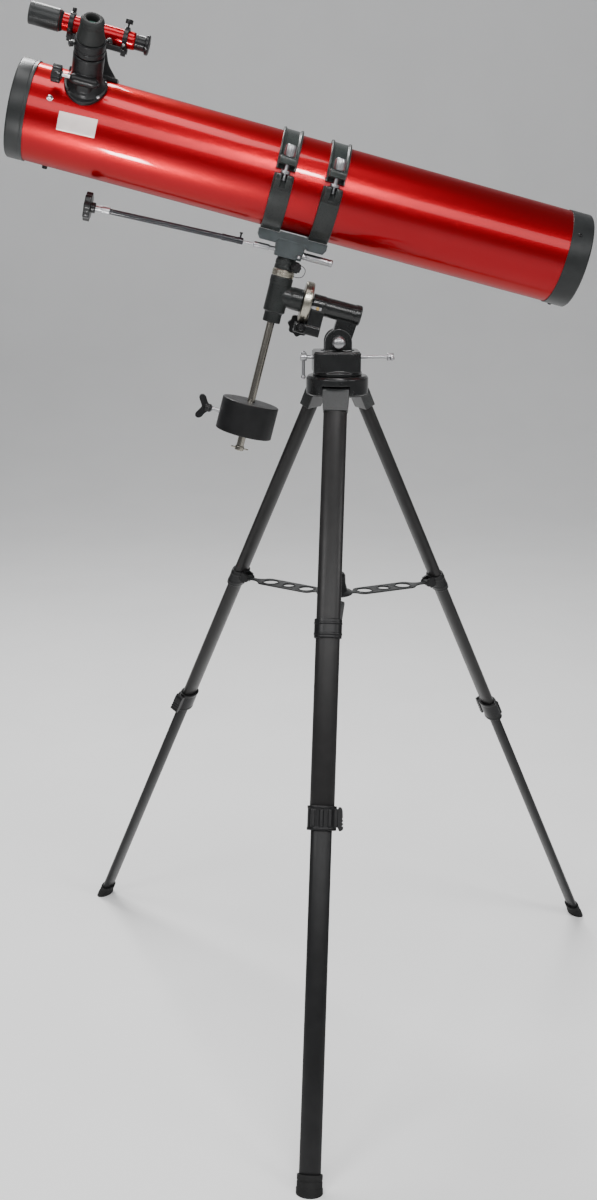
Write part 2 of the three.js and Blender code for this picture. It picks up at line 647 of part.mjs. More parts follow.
/** Knurled nut, bolt and washer of one ring: the washer stops on the lower ear. */
function ringKnob(x) {
  const at = [x, RING_BOLT_Y];
  const bolt = cylinder('z', 3, SPLIT_LOW - 9, 200, at);
  const washer = cylinder('z', 7.5, SPLIT_LOW + GAP, SPLIT_LOW + 4.6, at);
  const nut = moved(prism('z', scallops(8, 0.6, 8), 195, 212), x, RING_BOLT_Y, 0);
  return union(bolt, washer, nut);
}

RING_XS.forEach((x, i) => {
  add(axes, `ring_lower_${i + 1}`, ringLower(x), 'blackCasting');
  add(axes, `ring_upper_${i + 1}`, ringUpper(x), 'blackCasting');
  add(axes, `ring_knob_${i + 1}`, ringKnob(x), 'chrome');
});

// ---- telescope tube and optics ---------------------------------------------------------------

const TUBE_AXIS = [0, TUBE_Z];
const INNER_RADIUS = TUBE_RADIUS - TUBE_WALL;
const FRONT_RING_WIDTH = 26;
const CELL_WIDTH = 34;

/** A tool that lies along the focuser's line, in the axes frame. */
function alongFocuser(body) {
  return moved(spun(body, 'x', FOCUSER_TURN), FOCUSER_X, 0, TUBE_Z);
}

function mainTube() {
  const shell = pipe('x', TUBE_RADIUS, INNER_RADIUS, TUBE_FRONT + 9, TUBE_REAR - 10, TUBE_AXIS);
  return cut(shell, alongFocuser(cylinder('z', 19, 40, 90)));
}

function frontRing() {
  const front = TUBE_FRONT;
  const back = front + FRONT_RING_WIDTH;
  const seat = TUBE_RADIUS + GAP;
  return turned('x', [
    [66, front], [69.5, front], [71.5, front + 2], [71.5, back], [seat, back], [seat, front + 8.7],
    [66, front + 8.7],
    [66, front],
  ], TUBE_AXIS);
}

function rearCell() {
  const back = TUBE_REAR;
  const front = back - CELL_WIDTH;
  const seat = TUBE_RADIUS + GAP;
  return turned('x', [
    [0, back - 15], [46, back - 15], [46, back - 9.7], [seat, back - 9.7], [seat, front], [71.2, front],
    [71.2, back - 2], [69.2, back], [60, back], [58, back - 3], [0, back - 3],
  ], TUBE_AXIS);
}

function primaryMirror() {
  const back = TUBE_REAR - 15.3;
  const face = [];
  const steps = 3;
  for (let i = 0; i <= steps; i += 1) {
    const r = 55.5 * (1 - i / steps);
    face.push([r, back - 12 + 1.5 * (1 - (r / 57) ** 2)]);
  }
  return turned('x', [[0, back], [57, back], [57, back - 11.5], ...face], TUBE_AXIS);
}

function spider() {
  const hub = cylinder('x', 14, SPIDER_X - 9, FOCUSER_X + 30, TUBE_AXIS);
  const vanes = [18, 138, 258].map((angle) => {
    const vane = box([SPIDER_X - 7, SPIDER_X + 7], [-INNER_RADIUS + GAP, -10], [-0.8, 0.8]);
    const boss = cylinder('y', 4, -INNER_RADIUS + GAP + 0.4, -INNER_RADIUS + 9, [SPIDER_X, 0]);
    return moved(spun(union(vane, boss), 'x', -angle), 0, 0, TUBE_Z);
  });
  const away = alongFocuser(spun(box([-60, 60], [-60, 60], [-1.5, 90]), 'y', 45));
  return union(cut(hub, away), ...vanes);
}

function secondaryMirror() {
  const stock = cylinder('x', 13.5, FOCUSER_X - 40, FOCUSER_X + 40, TUBE_AXIS);
  const slab = alongFocuser(spun(box([-60, 60], [-60, 60], [-1.2, 2]), 'y', 45));
  return stock.intersect(slab);
}

add(axes, 'main_tube', mainTube(), 'tubeRed');
add(axes, 'front_ring', frontRing(), 'blackPlastic');
add(axes, 'rear_cell', rearCell(), 'blackPlastic');
add(axes, 'primary_mirror', primaryMirror(), 'mirror');
add(axes, 'spider', spider(), 'blackCasting');
add(axes, 'secondary_mirror', secondaryMirror(), 'mirror');

// ---- focuser and eyepiece ----------------------------------------------------------------------

const focuser = frame(axes, 'focuser', [FOCUSER_X, 0, TUBE_Z], 'x', FOCUSER_TURN);
const DRAW_RADIUS = 17.6;
const FOCUSER_TOP = 124;
const PINION = { y: -22.2, z: 93, radius: 5 };

function focuserBase() {
  const footprint = new THREE.Shape();
  footprint.absellipse(0, 0, 31, 35, 0, 2 * Math.PI, false);
  const bodyTool = cylinder('x', TUBE_RADIUS + GAP, -60, 60);
  const skirt = cut(
    prism('z', footprint, 40, 90).intersect(cylinder('x', TUBE_RADIUS + 4.5, -60, 60)),
    bodyTool,
  );
  const flare = turned('z', [
    [0, 55], [29, 55], [29, 74], [24, 80], [22.3, 86], [22.3, FOCUSER_TOP], [0, FOCUSER_TOP],
  ]);
  const pinionHouse = union(
    cylinder('x', 8, -20, 20, [PINION.y, PINION.z]),
    box([-20, 20], [PINION.y - 6, -10], [70, PINION.z]),
  );
  const bore = cylinder('z', DRAW_RADIUS + GAP, 30, 200);
  const pinionBore = cylinder('x', PINION.radius + GAP, -15, 15, [PINION.y, PINION.z]);
  const shaftBore = cylinder('x', 2.9, -40, 40, [PINION.y, PINION.z]);
  return cut(union(skirt, cut(union(flare, pinionHouse), bodyTool)), bore, pinionBore, shaftBore);
}

function drawtube() {
  const inner = 16.2;
  const rackFlat = -DRAW_RADIUS + 0.9;
  const body = turned('z', [
    [inner, 64], [DRAW_RADIUS, 64], [DRAW_RADIUS, FOCUSER_TOP + 2], [21.5, FOCUSER_TOP + 2],
    [22, FOCUSER_TOP + 3],
    [22, 145], [21, 146.6], [inner, 146.6], [inner, 64],
  ]);
  const flat = box([-30, 30], [-40, rackFlat], [50, FOCUSER_TOP + 1]);
  return cut(body, flat);
}

/** Pinion, its cross shaft and the one visible focus wheel, lying along X. */
function focusKnob() {
  const at = [PINION.y, PINION.z];
  const pinion = cylinder('x', PINION.radius, -14, 14, at);
  const shaft = cylinder('x', 2.5, -42, 22, at);
  const hub = cylinder('x', 6, -34, -30.5, at);
  const wheel = moved(prism('x', scallops(12.5, 0.8, 10), -45, -33), 0, ...at);
  return union(pinion, shaft, hub, wheel);
}

function eyepiece() {
  return turned('z', [
    [10.5, 120], [15.8, 120], [15.8, 146.9], [19.6, 146.9], [19.6, 150], [16.2, 168], [17, 171], [16.6, 175],
    [13.5, 178.5], [9, 178.5], [8, 172], [10.5, 160], [10.5, 120],
  ]);
}

add(focuser, 'focuser_base', focuserBase(), 'blackPlastic');
add(focuser, 'drawtube', drawtube(), 'blackPlastic');
add(focuser, 'focus_knob', focusKnob(), 'blackPlastic');
add(focuser, 'eyepiece', eyepiece(), 'blackPlastic');

// ---- finder --------------------------------------------------------------------------------------

const FINDER_AXIS = [0, FINDER_Z];
const FINDER_RADIUS = 12.4;

function finderBracket() {
  const tubeTool = cylinder('x', TUBE_RADIUS + GAP, -420, -260, TUBE_AXIS);
  const finderRoom = cylinder('x', FINDER_RADIUS + 1.2, -420, -260, FINDER_AXIS);
  const rings = FINDER_RING_XS.map((x) => union(
    pipe('x', 16.6, FINDER_RADIUS + 1.2, x - 3.5, x + 3.5, FINDER_AXIS),
    cut(box([x - 3.5, x + 3.5], [-5, 5], [272, 284]), finderRoom),
  ));
  const bar = box([-389, -299], [-4.5, 4.5], [276, 283.2]);
  const stalk = prism('y', [
    [-352, 278], [-332, 278], [-322, 256], [-306, 240], [-303, 236], [-303, 228], [-372, 228], [-372, 238],
    [-362, 246],
  ], -5, 5);
  const foot = cut(box([-374, -303], [-14, 14], [226, 239]), tubeTool);
  const focuserRoom = alongFocuser(cylinder('z', 24.5, 60, 190));
  const skirtOutline = new THREE.Shape().absellipse(0, 0, 32.5, 36.5, 0, 2 * Math.PI, false);
  const baseRoom = alongFocuser(prism('z', skirtOutline, 40, 90));
  return cut(union(...rings, bar, cut(stalk, tubeTool), foot), focuserRoom, baseRoom);
}

function finderTube() {
  const r = FINDER_RADIUS;
  return turned('x', [
    [14.6, -446], [16, -446], [16, -402], [14.6, -401], [r, -399], [r, -292], [10.9, -290.6],
    [9.4, -290.6], [9.4, -300], [11, -302], [11, -395], [14.6, -400], [14.6, -446],
  ], FINDER_AXIS);
}

function finderEyepiece() {
  return turned('x', [
    [0, -299], [9.1, -299], [9.1, -290.3], [11, -290.3], [11, -276], [14.4, -275], [14.4, -271],
    [12.5, -269.6],
    [6, -269.6], [5, -272], [0, -272],
  ], FINDER_AXIS);
}

add(axes, 'finder_bracket', finderBracket(), 'blackPlastic');
add(axes, 'finder_tube', finderTube(), 'tubeRed');
add(axes, 'finder_eyepiece', finderEyepiece(), 'blackPlastic');

// ---- origin at the middle of the base --------------------------------------------------------------

telescope.updateMatrixWorld(true);
const bounds = new THREE.Box3().setFromObject(telescope, true);
const centre = bounds.getCenter(new THREE.Vector3());
telescope.position.set(-centre.x, -centre.y, -bounds.min.z);
telescope.updateMatrixWorld(true);

export default telescope;
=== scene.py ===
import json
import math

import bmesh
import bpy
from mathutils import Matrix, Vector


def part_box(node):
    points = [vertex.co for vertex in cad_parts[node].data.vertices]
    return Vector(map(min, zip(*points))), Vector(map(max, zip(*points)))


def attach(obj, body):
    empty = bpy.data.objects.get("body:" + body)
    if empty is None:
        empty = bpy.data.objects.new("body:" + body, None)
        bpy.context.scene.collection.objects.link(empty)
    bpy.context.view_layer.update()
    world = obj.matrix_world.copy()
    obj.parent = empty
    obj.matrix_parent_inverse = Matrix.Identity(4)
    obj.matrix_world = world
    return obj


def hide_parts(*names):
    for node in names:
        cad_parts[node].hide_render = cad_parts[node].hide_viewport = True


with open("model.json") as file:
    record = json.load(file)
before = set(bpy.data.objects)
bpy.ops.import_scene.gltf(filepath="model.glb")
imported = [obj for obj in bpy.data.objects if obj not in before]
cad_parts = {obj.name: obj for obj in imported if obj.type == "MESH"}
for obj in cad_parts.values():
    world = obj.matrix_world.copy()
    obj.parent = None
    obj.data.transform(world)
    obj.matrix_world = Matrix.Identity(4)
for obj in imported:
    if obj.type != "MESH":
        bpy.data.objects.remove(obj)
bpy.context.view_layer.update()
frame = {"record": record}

# The looks of a reflector telescope on a German equatorial mount. Each piece is drawn in
# millimetres in the CAD's own local frames and then placed in the row's frame, in metres.
#
#   tripod   Z is the tripod's centre line and z = 0 is the ground
#   radial   the tripod frame turned about Z, so that X runs outward over one leg
#   leg      origin on a leg's top hinge: Z runs up the leg, Y is the hinge line
#   axes     origin where the mount's two axes cross: X runs along the tube, Z up the dec axis
#   focuser  origin on the tube's centre line: Z runs out along the focuser

MM = 0.001
GAP = 0.3  # between pieces that touch
SHARP = 38  # degrees between faces that look creased

# ---- frames ------------------------------------------------------------------------------


def shift(x, y, z):
    return Matrix.Translation((x, y, z))


def turn(axis, degrees):
    return Matrix.Rotation(math.radians(degrees), 4, axis)


hub_low, hub_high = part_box("spreader_hub")
centre_line = (hub_low + hub_high) / (2 * MM)
TRIPOD = shift(centre_line.x, centre_line.y, 0)
LEG_TILT = 25.65  # degrees from vertical
HINGE_RADIUS = 37.9
HINGE_HEIGHT = 1054
LEG_HEADINGS = [-97.15 + 120 * i for i in range(3)]
RADIALS = [TRIPOD @ turn("Z", heading) for heading in LEG_HEADINGS]
LEGS = [radial @ shift(HINGE_RADIUS, 0, HINGE_HEIGHT) @ turn("Y", -LEG_TILT) for radial in RADIALS]
PIVOT_HEIGHT = 1130  # of the latitude pivot
PIVOT = (108.5, -46.5)  # the same pivot in the axes frame
POLAR_TILT = 14.4
AXES = TRIPOD @ shift(0, 0, PIVOT_HEIGHT) @ turn("Y", POLAR_TILT) @ shift(-PIVOT[0], 0, -PIVOT[1])
SLOW_Z = 65.1
SLOW_MOTION = AXES @ shift(-20, 0, SLOW_Z) @ turn("Y", -2.3)
TUBE_Z = 164
FOCUSER_X = -342
FOCUSER_TURN = 41
FOCUSER = AXES @ shift(FOCUSER_X, 0, TUBE_Z) @ turn("X", FOCUSER_TURN)

# ---- outlines ----------------------------------------------------------------------------


def bend(start, corner, end, steps=8):
    """Points of a curve that leaves start toward corner and arrives at end."""
    a, b, c = Vector(start), Vector(corner), Vector(end)
    points = []
    for i in range(steps + 1):
        t = i / steps
        points.append(tuple(a * (1 - t) ** 2 + b * 2 * t * (1 - t) + c * t * t))
    return points


def softened(outline, radius, closed=True, steps=4):
    """The outline with its corners rounded. An open one keeps its two ends."""
    points = [Vector(p) for p in outline]
    count = len(points)
    result = []
    for i, corner in enumerate(points):
        if not closed and i in (0, count - 1):
            result.append(tuple(corner))
            continue
        before, after = points[i - 1] - corner, points[(i + 1) % count] - corner
        reach = min(radius, before.length * 0.45, after.length * 0.45)
        if before.angle(after) > math.radians(165):
            result.append(tuple(corner))
            continue
        start, end = corner + before.normalized() * reach, corner + after.normalized() * reach
        result += bend(start, corner, end, steps)
    return result


def oval(a, b, count=96):
    turns = [2 * math.pi * i / count for i in range(count)]
    return [(b * math.cos(t), a * math.sin(t)) for t in turns]


def scallops(radius, depth, lobes, sharp=1.0):
    """A knob's lobed outline. Above 1, sharp makes the dips narrower."""
    count = lobes * 16
    points = []
    for i in range(count):
        t = 2 * math.pi * i / count
        dip = (0.5 - 0.5 * math.cos(t * lobes)) ** sharp
        points.append(((radius - depth * dip) * math.cos(t), (radius - depth * dip) * math.sin(t)))
    return points


# ---- solids ------------------------------------------------------------------------------


def spot(axis, along, across):
    """The point that lies this far along an axis and across it in the other two, in X, Y, Z order."""
    u, v = across
    return {"x": (along, u, v), "y": (u, along, v), "z": (u, v, along)}[axis]


def closed_mesh(points, faces):
    mesh = bpy.data.meshes.new("solid")
    mesh.from_pydata(points, [], faces)
    work = bmesh.new()
    work.from_mesh(mesh)
    bmesh.ops.remove_doubles(work, verts=work.verts, dist=1e-4)
    bmesh.ops.recalc_face_normals(work, faces=work.faces)
    work.to_mesh(mesh)
    work.free()
    return mesh


def facets(radius):
    sizes = [(50, 160), (25, 112), (12, 72), (5, 48), (2, 28)]
    return next((count for size, count in sizes if radius > size), 16)


def turned(axis, profile, centre=(0, 0), soft=0.0, sides=None):
    """A profile of (radius, place along the axis) pairs turned about an axis."""
    if soft:
        loop = profile[0] == profile[-1]
        profile = softened(profile[:-1] if loop else profile, soft, closed=loop)
        profile = profile + profile[:1] if loop else profile
    sides = sides or facets(max(r for r, _ in profile))
    points, rings = [], []
    for r, s in profile:
        count = 1 if r == 0 else sides
        first = len(points)
        for i in range(count):
            t = 2 * math.pi * i / sides
            points.append(spot(axis, s, (centre[0] + r * math.cos(t), centre[1] + r * math.sin(t))))
        rings.append([first + i % count for i in range(sides + 1)])
    faces = []
    for low, high in zip(rings, rings[1:]):
        for i in range(sides):
            corners = list(dict.fromkeys([low[i], low[i + 1], high[i + 1], high[i]]))
            if len(corners) > 2:
                faces.append(corners)
    return closed_mesh(points, faces)


def cylinder(axis, radius, start, end, centre=(0, 0), soft=0.0, sides=None):
    return turned(axis, [(0, start), (radius, start), (radius, end), (0, end)], centre, soft, sides)


def pipe(axis, outer, inner, start, end, centre=(0, 0), soft=0.0):
    profile = [(inner, start), (outer, start), (outer, end), (inner, end), (inner, start)]
    return turned(axis, profile, centre, soft)


def prism(axis, outline, start, end):
    """An outline in the other two axes, pushed along an axis."""
    count = len(outline)
    points = [spot(axis, s, p) for s in (start, end) for p in outline]
    faces = [list(range(count)), list(range(count, 2 * count))]
    for i in range(count):
        after = (i + 1) % count
        faces.append([i, after, count + after, count + i])
    return closed_mesh(points, faces)


def box(xs, ys, zs):
    outline = [(xs[0], ys[0]), (xs[1], ys[0]), (xs[1], ys[1]), (xs[0], ys[1])]
    return prism("z", outline, *zs)


def ball(radius, centre):
    arc = [math.pi * i / 16 for i in range(17)]
    profile = [(radius * math.sin(t), centre[2] - radius * math.cos(t)) for t in arc]
    profile[0] = (0, centre[2] - radius)
    profile[-1] = (0, centre[2] + radius)
    return turned("z", profile, centre[:2])


def evaluated(holder):
    graph = bpy.context.evaluated_depsgraph_get()
    graph.update()
    mesh = bpy.data.meshes.new_from_object(holder.evaluated_get(graph))
    holder.modifiers.clear()
    return mesh


def workbench(name):
    holder = bpy.data.objects.new(name, bpy.data.meshes.new(name))
    bpy.context.scene.collection.objects.link(holder)
    return holder


bench, tool_bench = workbench("bench"), workbench("tool_bench")


def boolean(kind, base, tool):
    bench.data, tool_bench.data = base, tool
    change = bench.modifiers.new("boolean", "BOOLEAN")
    change.operation, change.solver, change.object = kind, "MANIFOLD", tool_bench
    return evaluated(bench)


def union(first, *others):
    for other in others:
        first = boolean("UNION", first, other)
    return first


def cut(first, *tools):
    for tool in tools:
        first = boolean("DIFFERENCE", first, tool)
    return first


def common(first, second):
    return boolean("INTERSECT", first, second)


def moved(mesh, x=0, y=0, z=0):
    copy = mesh.copy()
    copy.transform(shift(x, y, z))
    return copy


def spun(mesh, axis, degrees):
    copy = mesh.copy()
    copy.transform(turn(axis.upper(), degrees))
    return copy


def mirrored(mesh):
    """A copy on the other side of the XZ plane."""
    copy = mesh.copy()
    copy.transform(Matrix.Scale(-1, 4, (0, 1, 0)))
    copy.flip_normals()
    return copy


def bevelled(mesh, width, segments):
    """The sharp edges rounded off, as on a pressed or machined piece."""
    bench.data = mesh
    change = bench.modifiers.new("bevel", "BEVEL")
    change.width, change.segments, change.limit_method = width, segments, "ANGLE"
    change.angle_limit = math.radians(32)
    change.miter_outer = "MITER_ARC"
    return evaluated(bench)


def cast(mesh, voxel, rounds):
    """The whole surface melted together, as on a casting or moulding with filleted corners."""
    bench.data = mesh
    change = bench.modifiers.new("remesh", "REMESH")
    change.mode, change.voxel_size = "VOXEL", voxel
    change.use_smooth_shade = True
    soften = bench.modifiers.new("smooth", "SMOOTH")
    soften.factor, soften.iterations = 0.5, rounds
    return evaluated(bench)


def together(*meshes):
    """Several closed meshes as one, left as they are where they touch."""
    work = bmesh.new()
    for mesh in meshes:
        work.from_mesh(mesh)
    joined = bpy.data.meshes.new("joined")
    work.to_mesh(joined)
    work.free()
    return joined


# ---- pieces ------------------------------------------------------------------------------


body_of_node = {n: body for body, ns in frame["record"]["behaviour"]["bodies"].items() for n in ns}


def piece(name, mesh, place, body, material, nodes=(), paint=None):
    """A finished mesh in its place, riding on a CAD body and standing for these CAD nodes.

    Paint hands other faces other materials."""
    mesh.materials.clear()
    mesh.materials.append(material)
    if paint:
        for other in paint(mesh):
            mesh.materials.append(other)
    mesh.transform(Matrix.Scale(MM, 4) @ place)
    mesh.name = name
    mesh.polygons.foreach_set("use_smooth", [True] * len(mesh.polygons))
    mesh.set_sharp_from_angle(angle=math.radians(SHARP))
    made = bpy.data.objects.new(name, mesh)
    bpy.context.scene.collection.objects.link(made)
    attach(made, body)
    if nodes:
        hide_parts(*nodes)


def look(node, mesh, place, material, paint=None):
    """The finished piece that stands for one CAD node."""
    piece(f"{node}_look", mesh, place, body_of_node[node], material, [node], paint)


def two_tone(second, chosen):
    """A paint that gives the second material to the faces whose centres are chosen."""

    def paint(mesh):
        for face in mesh.polygons:
            face.material_index = int(chosen(face.center))
        return [second]

    return paint


# ---- materials ---------------------------------------------------------------------------


def fix(node, **values):
    """Set a node's sockets to constants. Each socket's name has _ where it shows a space."""
    for name, value in values.items():
        node.inputs[name.replace("_", " ")].default_value = value


class Nodes:
    """A material's node tree with short ways to add and join nodes."""

    def __init__(self, name):
        self.material = bpy.data.materials.new(name)
        self.material.use_nodes = True
        self.tree = self.material.node_tree
        self.shader = self.tree.nodes["Principled BSDF"]
        self.place = self.add("ShaderNodeTexCoord").outputs["Object"]

    def add(self, kind, **settings):
        node = self.tree.nodes.new(kind)
        for key, value in settings.items():
            setattr(node, key, value)
        return node

    def join(self, source, target):
        self.tree.links.new(source, target)

    def noise(self, scale, detail=4, stretch=None, tilt=0.0):
        """Noise through the solid. Stretch is a scale along each axis of the tilted frame."""
        texture = self.add("ShaderNodeTexNoise")
        fix(texture, Scale=scale, Detail=detail)
        place = self.place
        if stretch:
            mapping = self.add("ShaderNodeMapping", vector_type="TEXTURE")
            fix(mapping, Rotation=(0, math.radians(tilt), 0), Scale=[1 / s for s in stretch])
            self.join(place, mapping.inputs["Vector"])
            place = mapping.outputs["Vector"]
        self.join(place, texture.inputs["Vector"])
        return texture.outputs["Fac"]

    def spread(self, source, low, high, out_low, out_high):
        ranged = self.add("ShaderNodeMapRange")
        fix(ranged, From_Min=low, From_Max=high, To_Min=out_low, To_Max=out_high)
        self.join(source, ranged.inputs["Value"])
        return ranged.outputs["Result"]

    def ramp(self, source, stops):
        ramp = self.add("ShaderNodeValToRGB")
        marks = ramp.color_ramp.elements
        while len(marks) < len(stops):
            marks.new(0.5)
        for mark, (position, colour) in zip(marks, stops):
            mark.position = position
            mark.color = (*colour, 1)
        self.join(source, ramp.inputs["Fac"])
        return ramp.outputs["Color"]

    def bump(self, source, strength, distance):
        bump = self.add("ShaderNodeBump")
        fix(bump, Strength=strength, Distance=distance)
        self.join(source, bump.inputs["Height"])
        self.join(bump.outputs["Normal"], self.shader.inputs["Normal"])


def shade(colour, factor):
    return tuple(min(1.0, c * factor) for c in colour)


def surface(name, colour, roughness, metallic=0.0, mottle=0.12, mottle_scale=45, grain_scale=900,
            depth=0.00006, coat=0.0, stretch=None, tilt=0.0, edge_highlight=None, specular=0.25):
    """A finish whose colour drifts a little, with fine grain in its gloss and its surface.

    The edge colour, where one is given, is a painted highlight laid along outside edges where the bevels
    would catch the light."""
    nodes = Nodes(name)
    shader = nodes.shader
    drift = nodes.noise(mottle_scale)
    base = nodes.ramp(drift, [(0.3, shade(colour, 1 - mottle)), (0.7, shade(colour, 1 + mottle))])
    fine = nodes.noise(grain_scale, 5, stretch, tilt)
    # painted highlight: the edge colour is mixed in along outside edges, picked out by pointiness
    if edge_highlight:
        edges = nodes.add("ShaderNodeNewGeometry").outputs["Pointiness"]
        highlit_edges = nodes.spread(edges, 0.53, 0.6, 0, 0.55)
        mix = nodes.add("ShaderNodeMix", data_type="RGBA")
        nodes.join(highlit_edges, mix.inputs["Factor"])
        nodes.join(base, mix.inputs["A"])
        fix(mix, B=(*edge_highlight, 1))
        base = mix.outputs["Result"]
    nodes.join(base, shader.inputs["Base Color"])
    gloss = nodes.spread(fine, 0.3, 0.7, roughness * 0.85, roughness * 1.15)
    nodes.join(gloss, shader.inputs["Roughness"])
    nodes.bump(fine, 0.35, depth)
    fix(shader, Metallic=metallic, Specular_IOR_Level=specular, Coat_Weight=coat, Coat_Roughness=0.08)
    return nodes.material


TUBE_RED = (0.31, 0.0025, 0.008)


def metallic_paint(name, colour):
    """Metallic paint: flakes twinkle under a clear coat with a slight orange peel."""
    nodes = Nodes(name)
    shader = nodes.shader
    flakes = nodes.add("ShaderNodeTexVoronoi")
    fix(flakes, Scale=2600)
    nodes.join(nodes.place, flakes.inputs["Vector"])
    stops = [(0.1, shade(colour, 1.05)), (0.75, shade(colour, 0.95))]
    twinkle = nodes.ramp(flakes.outputs["Distance"], stops)
    drift = nodes.ramp(nodes.noise(9, 2), [(0.3, (0.93, 0.93, 0.93)), (0.7, (1, 1, 1))])
    mix = nodes.add("ShaderNodeMix", data_type="RGBA", blend_type="MULTIPLY")
    fix(mix, Factor=1)
    nodes.join(twinkle, mix.inputs["A"])
    nodes.join(drift, mix.inputs["B"])
    nodes.join(mix.outputs["Result"], shader.inputs["Base Color"])
    peel = nodes.noise(420, 2)
    nodes.join(nodes.spread(peel, 0.3, 0.7, 0.33, 0.36), shader.inputs["Roughness"])
    nodes.bump(peel, 0.06, 0.00001)
    fix(shader, Metallic=0.85, Specular_IOR_Level=0.1, Specular_Tint=(0.6, 0.02, 0.05, 1))
    fix(shader, Coat_Weight=0.35, Coat_Roughness=0.05)
    return nodes.material


def bare_metal(name, colour, roughness, grain_scale=300, stretch=None, tilt=0.0, depth=0.00004):
    """Bright metal with tool marks along or across it and a few dull smudges."""
    nodes = Nodes(name)
    shader = nodes.shader
    marks = nodes.noise(grain_scale, 3, stretch, tilt)
    smudges = nodes.noise(38, 3)
    tint = nodes.ramp(smudges, [(0.35, shade(colour, 0.94)), (0.65, shade(colour, 1.04))])
    nodes.join(tint, shader.inputs["Base Color"])
    nodes.join(nodes.spread(marks, 0.3, 0.7, roughness * 0.92, roughness * 1.1), shader.inputs["Roughness"])
    nodes.bump(marks, 0.25, depth)
    fix(shader, Metallic=1.0)
    return nodes.material


RING_TURNS = (2600, 40, 40)  # tool marks close together along X of the tilted frame
ROD_TURNS = (60, 60, 1500)

tube_paint = metallic_paint("tube_paint", TUBE_RED)
# the edge colours of these finishes are painted highlights along their outside edges
casting_black = surface("casting_black", (0.016, 0.0175, 0.017), 0.3, mottle=0.25, grain_scale=700,
                        depth=0.00012, edge_highlight=(0.16, 0.17, 0.165))
ring_paint = surface("ring_paint", (0.02, 0.024, 0.0225), 0.3, mottle=0.25, grain_scale=700,
                     depth=0.0001, edge_highlight=(0.2, 0.21, 0.2))
saddle_paint = surface("saddle_paint", (0.05, 0.058, 0.06), 0.38, metallic=0.35, mottle=0.25,
                       grain_scale=800, depth=0.00012, edge_highlight=(0.25, 0.26, 0.26))
weight_paint = surface("weight_paint", (0.008, 0.008, 0.0084), 0.42, mottle=0.3, grain_scale=500,
                       depth=0.00015, edge_highlight=(0.08, 0.08, 0.08))
gloss_casting = surface("gloss_casting", (0.012, 0.0125, 0.0125), 0.24, mottle=0.2, grain_scale=700,
                        depth=0.00007, coat=0.3, edge_highlight=(0.1, 0.1, 0.1))
fitting_grey = surface("fitting_grey", (0.03, 0.031, 0.031), 0.3, mottle=0.15, grain_scale=1100,
                       specular=0.5)
upper_leg_paint = surface("upper_leg_paint", (0.0215, 0.0208, 0.0208), 0.35, metallic=0.2, mottle=0.1,
                          grain_scale=500, stretch=(1, 1, 0.12), tilt=-25, depth=0.00004)
lower_leg_paint = surface("lower_leg_paint", (0.0125, 0.0125, 0.013), 0.37, metallic=0.1, mottle=0.15,
                          grain_scale=500, stretch=(1, 1, 0.12), tilt=-25, depth=0.00004)
black_plastic = surface("black_plastic", (0.0105, 0.0105, 0.011), 0.3, mottle=0.2, grain_scale=1300)
ring_plastic = surface("ring_plastic", (0.02, 0.0215, 0.0215), 0.37, mottle=0.2, grain_scale=1300)
soft_rubber = surface("soft_rubber", (0.014, 0.015, 0.0145), 0.62, mottle=0.3, grain_scale=1500,
                      depth=0.0001)
foot_rubber = surface("foot_rubber", (0.012, 0.012, 0.012), 0.7, mottle=0.3, grain_scale=900, depth=0.00015)
tray_paint = surface("tray_paint", (0.02, 0.021, 0.021), 0.35, mottle=0.2, grain_scale=700)
matt_black = surface("matt_black", (0.006, 0.006, 0.0065), 0.85, mottle=0.4, grain_scale=1500, specular=0.2)
sheath = surface("sheath", (0.012, 0.0125, 0.016), 0.32, mottle=0.2, grain_scale=900, coat=0.2)
chrome = bare_metal("chrome", (0.78, 0.78, 0.8), 0.14, depth=0.000003)
satin_chrome = bare_metal("satin_chrome", (0.36, 0.36, 0.37), 0.34, depth=0.000003)
turned_aluminium = bare_metal("turned_aluminium", (0.38, 0.36, 0.3), 0.28, 1, RING_TURNS, POLAR_TILT,
                              0.000005)
polished_steel = bare_metal("polished_steel", (0.33, 0.31, 0.27), 0.2, 1, ROD_TURNS, POLAR_TILT, 0.00001)
brass = bare_metal("brass", (0.55, 0.38, 0.15), 0.3)
plate_silver = bare_metal("plate_silver", (0.72, 0.7, 0.68), 0.3, 400, (1, 1, 8), depth=0.000005)
label_foil = surface("label_foil", (0.72, 0.64, 0.61), 0.42, metallic=0.3, mottle=0.06, mottle_scale=60,
                     grain_scale=500, depth=0.000004)
ink_grey = surface("ink_grey", (0.16, 0.15, 0.13), 0.45, mottle=0.2)
mirror_coat = bare_metal("mirror_coat", (0.9, 0.92, 0.94), 0.02, 20, depth=0.000001)


def lens_glass():
    """Coated glass: clear, with a faint green sheen."""
    nodes = Nodes("lens_glass")
    shader = nodes.shader
    tint = nodes.ramp(nodes.noise(30, 2), [(0.3, (0.1, 0.2, 0.16)), (0.7, (0.13, 0.24, 0.2))])
    nodes.join(tint, shader.inputs["Base Color"])
    fix(shader, Roughness=0.03, Specular_IOR_Level=0.8, Coat_Weight=1.0, Coat_Roughness=0.02)
    return nodes.material


glass = lens_glass()

# ---- telescope tube ----------------------------------------------------------------------

TUBE_AXIS = (0, TUBE_Z)
TUBE_RADIUS = 70
TUBE_INNER = 68.5
CELL_RADIUS = 71.2
MIRROR_RADIUS = 57
POLISHED_RADIUS = 55.5
TUBE_FRONT = -441
TUBE_REAR = 436
SPIDER_X = -385
VANES = (18, 138, 258)
OTA = "telescope_tube"


def along_focuser(mesh):
    return moved(spun(mesh, "x", FOCUSER_TURN), FOCUSER_X, 0, TUBE_Z)


def round_tube(degrees):
    """A frame on the tube's axis whose -Y points out of the tube, this far above level on the near side."""
    return AXES @ shift(0, 0, TUBE_Z) @ turn("X", -degrees)


